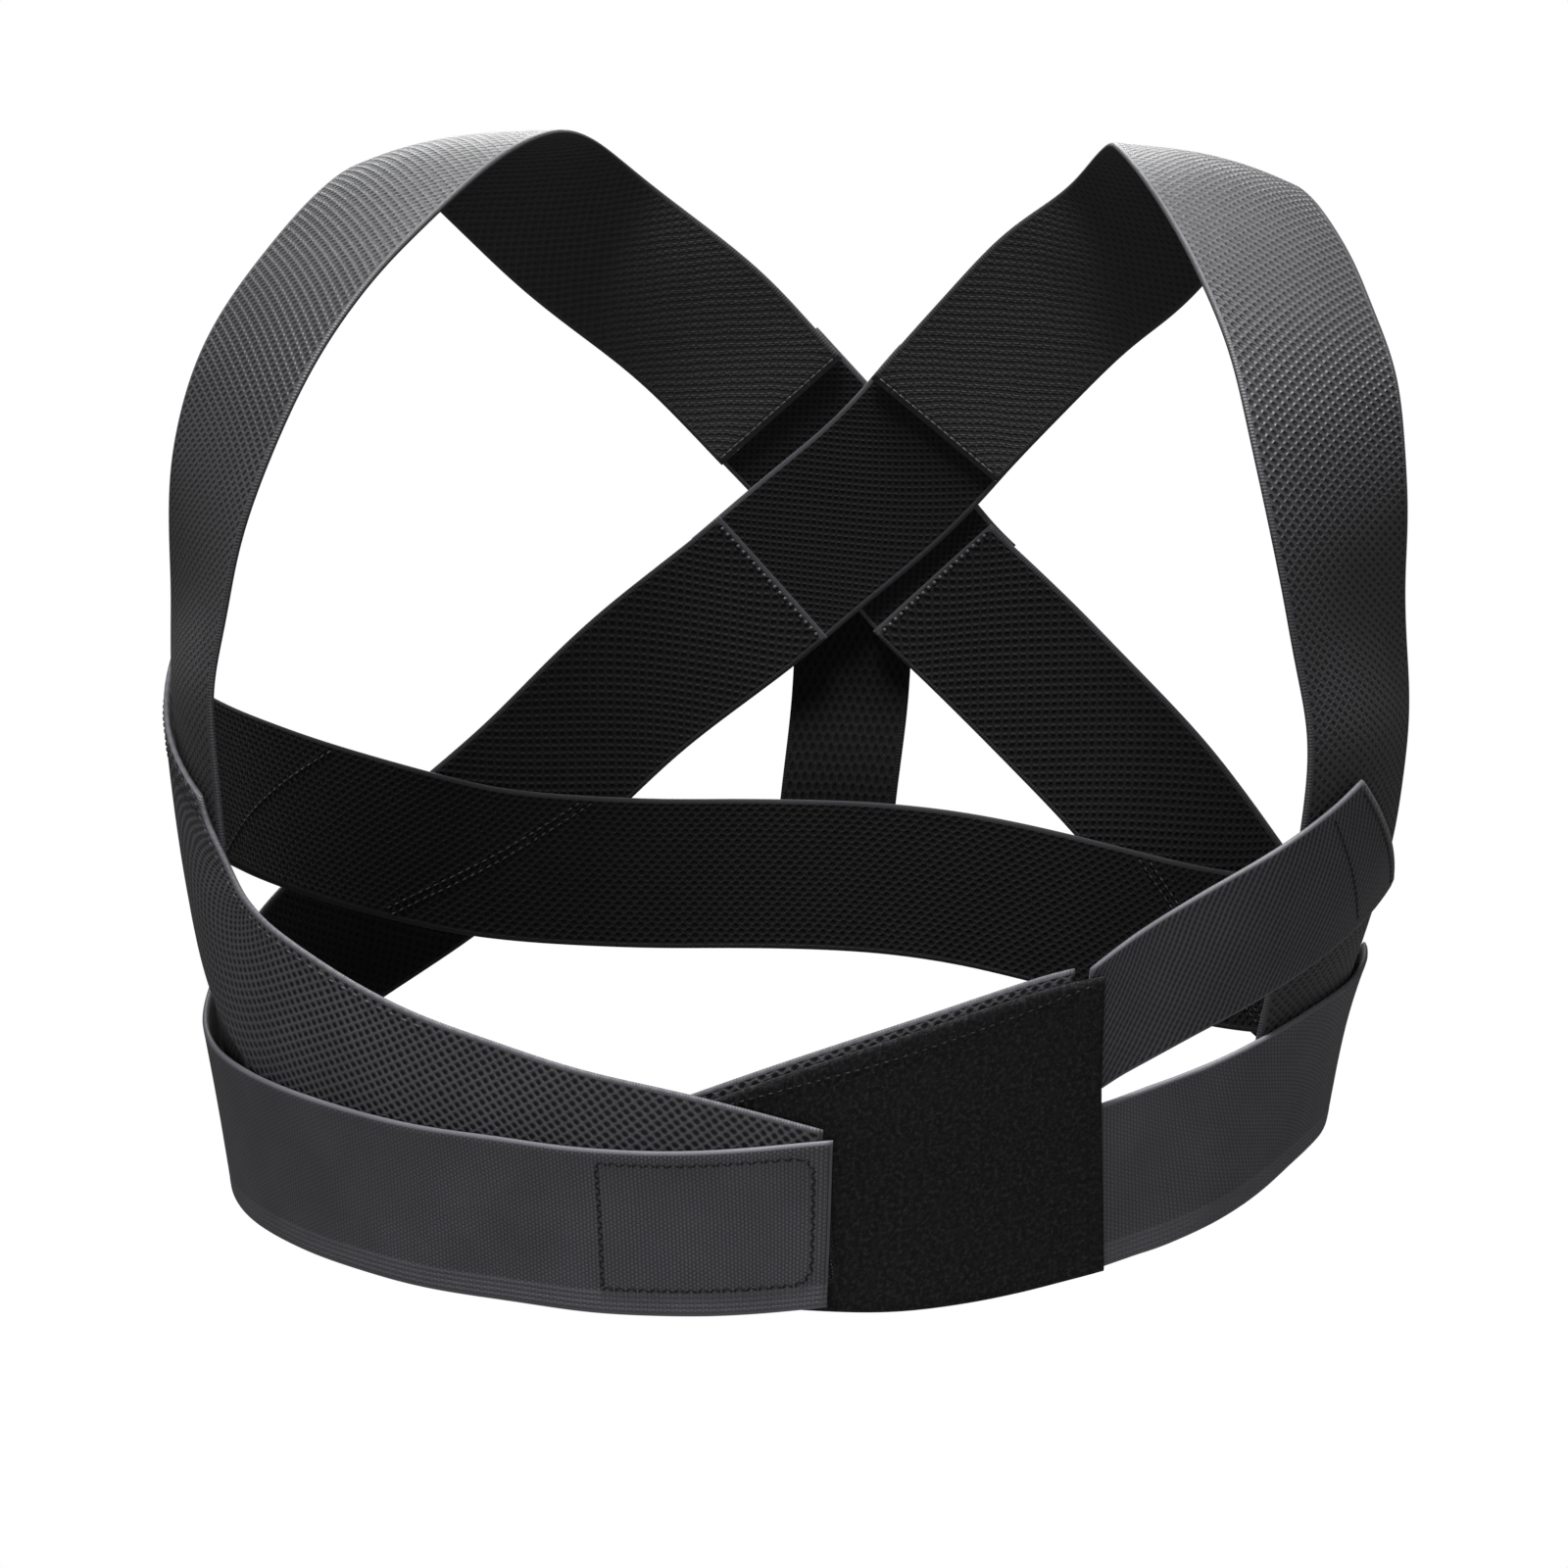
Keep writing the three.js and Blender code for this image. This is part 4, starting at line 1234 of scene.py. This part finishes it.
# %% The closure
CLOSURE = table(
    "turn low high",
    (123, 0.045, 0.35), (131, 0.032, 0.342), (138, 0.02, 0.33), (151, 0.006, 0.293),
    (163, 0.006, 0.262), (180, 0.01, 0.218), (197, 0.014, 0.173),
)
PANEL_EDGE_SLANT = 5
BACKING_SHOWS = 3
PANEL_THICKNESS = 1.6
HOOK_THICKNESS = 1.2
HOOK_LENGTH, HOOK_HEIGHT, HOOK_LAYER = 66, 40, 2
FRONT_MIDDLE_TURN = 180
BACKING_WAVE, PANEL_WAVE = 0.05, 0.12


def closure_strip(start, stop, layer, high_by=0.0):
    """At each turn, columns from the lower curve to the upper one; the slant fades by half way."""
    low = smooth_column(CLOSURE, "turn", "low")
    high = smooth_column(CLOSURE, "turn", "high")
    route = [dict(row, up=row["low"]) for row in CLOSURE]
    turn, _, _, share = stations(route, start, stop)
    slant = PANEL_EDGE_SLANT * np.maximum(0, 1 - 2 * share)
    up = (ACROSS + 0.5)[None, :]
    turns = turn[:, None] - slant[:, None] * (1 - up)
    bottom = low(turns) * SHOULDER_HEIGHT
    top = high(turns) * SHOULDER_HEIGHT - high_by
    width = (top - bottom)[:, len(ACROSS) // 2]
    return strip(on_form(turns, bottom + (top - bottom) * up, layer + 0 * turns), width)


backing = closure_strip(BACKING_EDGE_TURN, COVERED_END_TURN, 0)
cloth("closure_backing_elastic", "closure_backing", FRONT_CLOTH, backing, seed=23,
      wave=BACKING_WAVE)
panel = closure_strip(PANEL_EDGE_TURN, COVERED_END_TURN, 1, BACKING_SHOWS)
cloth("loop_panel_pile", "loop_panel", LOOP_PILE, panel, PANEL_THICKNESS, seed=24,
      wave=PANEL_WAVE)

# %% The hook tape behind the tab
hook_start = float(walk(FRONT_MIDDLE_TURN, 0.0, -HOOK_LENGTH / 2, 0.0)[0])
hooks = strip_on_form(
    [dict(row, layer=HOOK_LAYER) for row in RIGHT_BELT],
    hook_start, 2 * FRONT_MIDDLE_TURN - hook_start, HOOK_HEIGHT, -1,
)
cloth("hook_patch_tape", "hook_patch", HOOK_CLOTH, hooks, HOOK_THICKNESS, seed=25, wave=0.0)

# %% [markdown]
# ## Stitches
# Rows of thread hold the strips together, and they are what the eye follows on black cloth. One
# stitch is a short rounded bar of a few faces. All the stitches of a row are placed at once: each
# gets a frame of three directions, along the row, across it and out of the cloth.

# %% Places on a strip
def on_cloth(piece, along, across, side, thickness):
    """Looks the grid up between its rows and columns, and steps out to the skin of one side."""
    row = np.interp(along, piece.along, np.arange(len(piece.along)))
    width = np.interp(along, piece.along, piece.width)
    column = np.interp(across / width, ACROSS, np.arange(len(ACROSS)))
    i = np.minimum(row.astype(int), len(piece.along) - 2)
    j = np.minimum(column.astype(int), len(ACROSS) - 2)
    s, t = (row - i)[:, None], (column - j)[:, None]

    def between(grid):
        near = grid[i, j] * (1 - t) + grid[i, j + 1] * t
        far = grid[i + 1, j] * (1 - t) + grid[i + 1, j + 1] * t
        return near * (1 - s) + far * s

    out = unit(between(piece.normals)) * side
    return between(piece.points) + out * thickness / 2, out


# %% The shape of one stitch
STITCH_SIDES = 6
STITCH_RINGS = ((-0.38, 0.75), (0.0, 1.0), (0.38, 0.75))


def stitch_template():
    """A bar of unit size: three rings of six points between two poles."""
    round_it = np.linspace(0, 2 * np.pi, STITCH_SIDES, endpoint=False)
    rings = [
        np.stack([np.full(STITCH_SIDES, x), r * np.cos(round_it) / 2, r * np.sin(round_it) / 2], -1)
        for x, r in STITCH_RINGS
    ]
    points = np.concatenate([*rings, [[-0.5, 0, 0]], [[0.5, 0, 0]]])
    faces, last = [], len(points) - 1
    for j in range(STITCH_SIDES):
        k = (j + 1) % STITCH_SIDES
        faces.append((last - 1, k, j))
        for n in (0, STITCH_SIDES):
            faces.append((n + j, n + k, n + STITCH_SIDES + k, n + STITCH_SIDES + j))
        faces.append((last, 2 * STITCH_SIDES + j, 2 * STITCH_SIDES + k))
    return points, faces


# %% Rows of stitches
STITCH_LIFT = 0.12
ROW_SAMPLES = 60


def looked_up(at, gone, values):
    """Points or directions at given distances along a row."""
    return np.stack([np.interp(at, gone, values[:, n]) for n in range(3)], -1)


def stitch_places(piece, corners, side, thickness, pitch):
    """The centre, the way ahead and the way out of the cloth at equal steps along a row."""
    corners = np.array(corners, float)
    fine = np.linspace(0, len(corners) - 1, ROW_SAMPLES * len(corners))
    along, across = (np.interp(fine, np.arange(len(corners)), corners[:, n]) for n in range(2))
    points, out = on_cloth(piece, along, across, side, thickness)
    gone = distance_gone(points)
    at = np.arange(pitch / 2, gone[-1], pitch)
    ahead = unit(looked_up(at + 0.5, gone, points) - looked_up(at - 0.5, gone, points))
    return looked_up(at, gone, points), ahead, unit(looked_up(at, gone, out))


def stitch_bars(centre, ahead, out, template, size, turned):
    """The template stretched along three directions, and turned one way and then the other."""
    over = unit(np.cross(out, ahead))
    swing = (turned * np.where(np.arange(len(centre)) % 2 == 0, 1, -1))[:, None]
    c, s = np.cos(swing), np.sin(swing)
    ahead, over = ahead * c + over * s, over * c - ahead * s
    return (
        centre[:, None]
        + ahead[:, None] * template[None, :, :1] * size[0]
        + over[:, None] * template[None, :, 1:2] * size[1]
        + out[:, None] * (template[None, :, 2:] * size[2] + size[2] * STITCH_LIFT)
    )


def sew(name, material, rows, pitch=3.0, size=(2.1, 0.75, 0.6), turned=0.0):
    """Stitches at equal steps along each row, as one mesh. Turned makes the row a zigzag."""
    template, faces = stitch_template()
    bars = np.concatenate([
        stitch_bars(*stitch_places(*row, pitch), template, size, turned) for row in rows
    ])
    all_faces = []
    for number in range(len(bars)):
        all_faces += [tuple(number * len(template) + v for v in face) for face in faces]
    mesh = bpy.data.meshes.new(name)
    mesh.from_pydata((bars.reshape(-1, 3) * MM).tolist(), [], all_faces)
    mesh.materials.append(material)
    return add_piece(name, mesh)


# %% [markdown]
# Seen from the front, the seams of the crossing lie on the near side, so their stitches sit on the
# inner face of the straps' and legs' ends.

# %% Seams of the crossing
INSIDE, OUTSIDE = -1, 1
SEAM_INSET = 1.4
SEAM_REACH = 23


def seam(piece, corners, side=OUTSIDE, thickness=WEBBING_THICKNESS):
    """One row of stitches: the strip, the corners along and across it, and the face."""
    return piece, corners, side, thickness


def seam_across(piece, place, side):
    """A row across a whole strip."""
    return seam(piece, [(place, -SEAM_REACH), (place, SEAM_REACH)], side)


sew("crossing_leg_stitches", PALE_HIGHLIGHT_THREAD, [
    seam_across(leg, SEAM_INSET, INSIDE) for leg in (right_leg, left_leg)
], pitch=2.4, size=(1.2, 1.3, 0.6))
sew("crossing_strap_stitches", PALE_HIGHLIGHT_THREAD, [
    seam_across(strap, SEAM_INSET, INSIDE) for strap in (right_strap, left_strap)
], pitch=2.5, size=(2.4, 0.7, 0.6))
inset = CROSS_OVERLAP - SEAM_INSET
sew("crossing_outer_stitches", DARK_THREAD, [
    seam_across(cross, place, OUTSIDE)
    for cross in (right_cross, left_cross) for place in (inset, cross.along[-1] - inset)
], pitch=2.7)

# %% [markdown]
# The box of stitches on the tab holds the hook tape behind it. Its far corners are rounded, as a
# machine sews them.

# %% The box on the tab
BOX_LENGTH, BOX_FROM_END, BOX_FROM_TOP, BOX_FROM_BOTTOM = 61, 4, 4, 8
BOX_CORNER, CORNER_POINTS = 5, 7
tab_end = right_belt.along[-1]
low, high = -WEBBING_WIDTH / 2 + BOX_FROM_BOTTOM, WEBBING_WIDTH / 2 - BOX_FROM_TOP
near, far = tab_end - BOX_FROM_END, tab_end - BOX_FROM_END - BOX_LENGTH
corner_middle = near - BOX_CORNER
quarter = np.linspace(0, np.pi / 2, CORNER_POINTS)
sines, cosines = BOX_CORNER * np.sin(quarter), BOX_CORNER * np.cos(quarter)
lower_corner = zip(corner_middle + sines, low + BOX_CORNER - cosines)
upper_corner = zip(corner_middle + cosines, high - BOX_CORNER + sines)
box = [(far, high), (far, low), *lower_corner, *upper_corner, (far, high)]
sew("tab_box_stitches", DARK_THREAD, [seam(right_belt, box)],
    pitch=1.7, size=(1.9, 0.75, 0.7), turned=0.75)

# %% [markdown]
# The coarse band is sewn to the strap at the side, and a row of stitches runs on along its upper
# edge. The smooth band has two seams across it, and the panel one down its near edge and one
# along its top. The tables give each row's two corners, in millimetres along and across.

# %% Seams of the bands
SEAM_COLUMNS = "along across to_along to_across"
EDGE_INSET, EDGE_SEAM_SHARE = 3, 0.55
band_top, edge_seam_stop = WEBBING_WIDTH / 2 - EDGE_INSET, right_band.along[-1] * EDGE_SEAM_SHARE
BAND_EDGE_SEAM = table(SEAM_COLUMNS, (EDGE_INSET, band_top, edge_seam_stop, band_top))
BAND_END_SEAMS = table(SEAM_COLUMNS, (3, -22, 3, 22), (9, -22, 9, 22))
LEFT_BAND_SEAMS = table(SEAM_COLUMNS, (2.5, -21, 2.5, 21), (19, -19, 19, 20))


def seams_of(piece, rows, thickness=WEBBING_THICKNESS):
    """A straight row of stitches on the outer face for each row of a table."""
    return [
        seam(piece, [(row["along"], row["across"]), (row["to_along"], row["to_across"])],
             thickness=thickness)
        for row in rows
    ]


sew("band_edge_stitches", PALE_HIGHLIGHT_THREAD, seams_of(right_band, BAND_EDGE_SEAM),
    pitch=4.2, size=(2.0, 0.8, 0.6))
sew("band_end_stitches", DARK_THREAD, seams_of(right_band, BAND_END_SEAMS))
sew("left_band_stitches", DARK_THREAD, seams_of(left_band, LEFT_BAND_SEAMS),
    pitch=2.4, size=(2.2, 1.0, 0.5))

# %% Seams of the panel
PANEL_INSET, PANEL_MARGIN, PANEL_SEAM_STOP, PANEL_SEAM_FALL = 3.2, 2, 20, 26
panel_top = panel.width[0] / 2 - PANEL_MARGIN
PANEL_SEAMS = table(
    SEAM_COLUMNS,
    (PANEL_INSET, -panel_top, PANEL_INSET, panel_top),
    (PANEL_INSET, panel_top, panel.along[-1] - PANEL_SEAM_STOP, PANEL_SEAM_FALL),
)
sew("panel_edge_stitches", DARK_THREAD,
    seams_of(panel, PANEL_SEAMS, PANEL_THICKNESS), pitch=2.8, size=(1.9, 0.7, 0.6))

# %% Seams where the back band crosses the legs
BAND_REACH = BACK_BAND_WIDTH / 2 - 2
BACK_SEAM_TURNS = table(
    "top bottom", (-30, -52), (-28.5, -50.5), (-64, -84), (36, 58), (37.5, 59.5), (66, 84),
)


def back_seam(top, bottom):
    """A slanting line across the back band, from a turn on its upper edge to one on its lower."""
    turns = np.linspace(*BACK_BAND_ENDS, len(back_band.along))
    top_along, bottom_along = np.interp([top, bottom], turns, back_band.along)
    return seam(back_band, [(top_along, BAND_REACH), (bottom_along, -BAND_REACH)], INSIDE)


sew("back_band_stitches", DARK_THREAD,
    [back_seam(**row) for row in BACK_SEAM_TURNS], pitch=2.8)

# %% [markdown]
# ## Studio
# The floor is as far below as it is under someone who stands, so no shadow falls in the picture.
# The camera sees the floor and the room as white, but they give only a little light, because black
# cloth under a white sky turns a flat grey. A light path tells the two apart.

# %% Floor and room
FLOOR_DROP = 1.4
FLOOR_HALF = 30.0
FLOOR_SHADE, FLOOR_ROUGHNESS = 0.2, 0.9
ROOM_LIGHT = 0.16
WHITE = (1.0, 1.0, 1.0, 1)
floor_mesh = bpy.data.meshes.new("studio_floor")
floor_corners = np.array([(-1, -1), (1, -1), (1, 1), (-1, 1)]) * FLOOR_HALF
floor_mesh.from_pydata([(x, y, -FLOOR_DROP) for x, y in floor_corners.tolist()], [], [(0, 1, 2, 3)])
floor = bpy.data.objects.new("studio_floor", floor_mesh)
bpy.context.scene.collection.objects.link(floor)


def seen_white(tree, seen, lighting):
    """Switches between two shaders: one for what the camera sees, one for the light it gives."""
    path = tree.nodes.new("ShaderNodeLightPath")
    choice = tree.nodes.new("ShaderNodeMixShader")
    tree.links.new(path.outputs["Is Camera Ray"], choice.inputs[0])
    tree.links.new(lighting.outputs[0], choice.inputs[1])
    tree.links.new(seen.outputs[0], choice.inputs[2])
    return choice.outputs[0]


pale = bpy.data.materials.new("pale floor")
pale.use_nodes = True
glow = pale.node_tree.nodes.new("ShaderNodeEmission")
glow.inputs["Strength"].default_value = 1.0
floor_shader = pale.node_tree.nodes["Principled BSDF"]
floor_shader.inputs["Base Color"].default_value = grey(FLOOR_SHADE, 1.0)
floor_shader.inputs["Roughness"].default_value = FLOOR_ROUGHNESS
pale.node_tree.links.new(
    seen_white(pale.node_tree, glow, floor_shader),
    pale.node_tree.nodes["Material Output"].inputs["Surface"],
)
floor_mesh.materials.append(pale)

world = bpy.data.worlds.new("studio")
world.use_nodes = True
room = world.node_tree.nodes["Background"]
room.inputs["Color"].default_value = WHITE
room.inputs["Strength"].default_value = ROOM_LIGHT
backdrop = world.node_tree.nodes.new("ShaderNodeBackground")
backdrop.inputs["Color"].default_value = WHITE
backdrop.inputs["Strength"].default_value = 1.0
world.node_tree.links.new(
    seen_white(world.node_tree, backdrop, room),
    world.node_tree.nodes["World Output"].inputs["Surface"],
)
bpy.context.scene.world = world
bpy.context.scene.view_settings.view_transform = "Standard"
print("light from the room:", ROOM_LIGHT)

# %% [markdown]
# One broad light from above gives the straps their grey sheen on the shoulders and leaves the back
# dark. A weak one fills the front, and one behind lets the strips on the back be seen from there.

# %% Lights
def soft_light(name, place, aim, size, power):
    """A square area light that looks at a point."""
    lamp = bpy.data.lights.new(name, "AREA")
    lamp.energy, lamp.size = power, size
    made = bpy.data.objects.new(name, lamp)
    made.location = place
    made.rotation_euler = (Vector(aim) - Vector(place)).to_track_quat("-Z", "Y").to_euler()
    bpy.context.scene.collection.objects.link(made)


CHEST_AIM = (0, -0.04, -0.12)
soft_light("key_light", (-0.1, -0.35, 2.3), CHEST_AIM, 0.9, 180)
soft_light("fill_light", (0.3, -2.3, 0.1), CHEST_AIM, 0.8, 14)
soft_light("back_light", (-0.5, 2.3, 0.9), CHEST_AIM, 1.0, 45)
print("lights:", len(bpy.data.lights))

# %% [markdown]
# The camera stands ten degrees to the wearer's left and fourteen above, as in the photograph.

# %% Camera
CAMERA_TURN, CAMERA_RISE = np.radians([10, 14])
CAMERA_DISTANCE = 1.727
CAMERA_LENS, CAMERA_SENSOR = 136.8, 36
TARGET = Vector((0, -0.04, -0.178))
camera = bpy.data.objects.new("camera", bpy.data.cameras.new("camera"))
camera.data.lens, camera.data.sensor_width = CAMERA_LENS, CAMERA_SENSOR
way = Vector((
    float(np.sin(CAMERA_TURN) * np.cos(CAMERA_RISE)),
    float(-np.cos(CAMERA_TURN) * np.cos(CAMERA_RISE)),
    float(np.sin(CAMERA_RISE)),
))
camera.location = TARGET + way * CAMERA_DISTANCE
camera.rotation_euler = (-way).to_track_quat("-Z", "Y").to_euler()
bpy.context.scene.collection.objects.link(camera)
bpy.context.scene.camera = camera
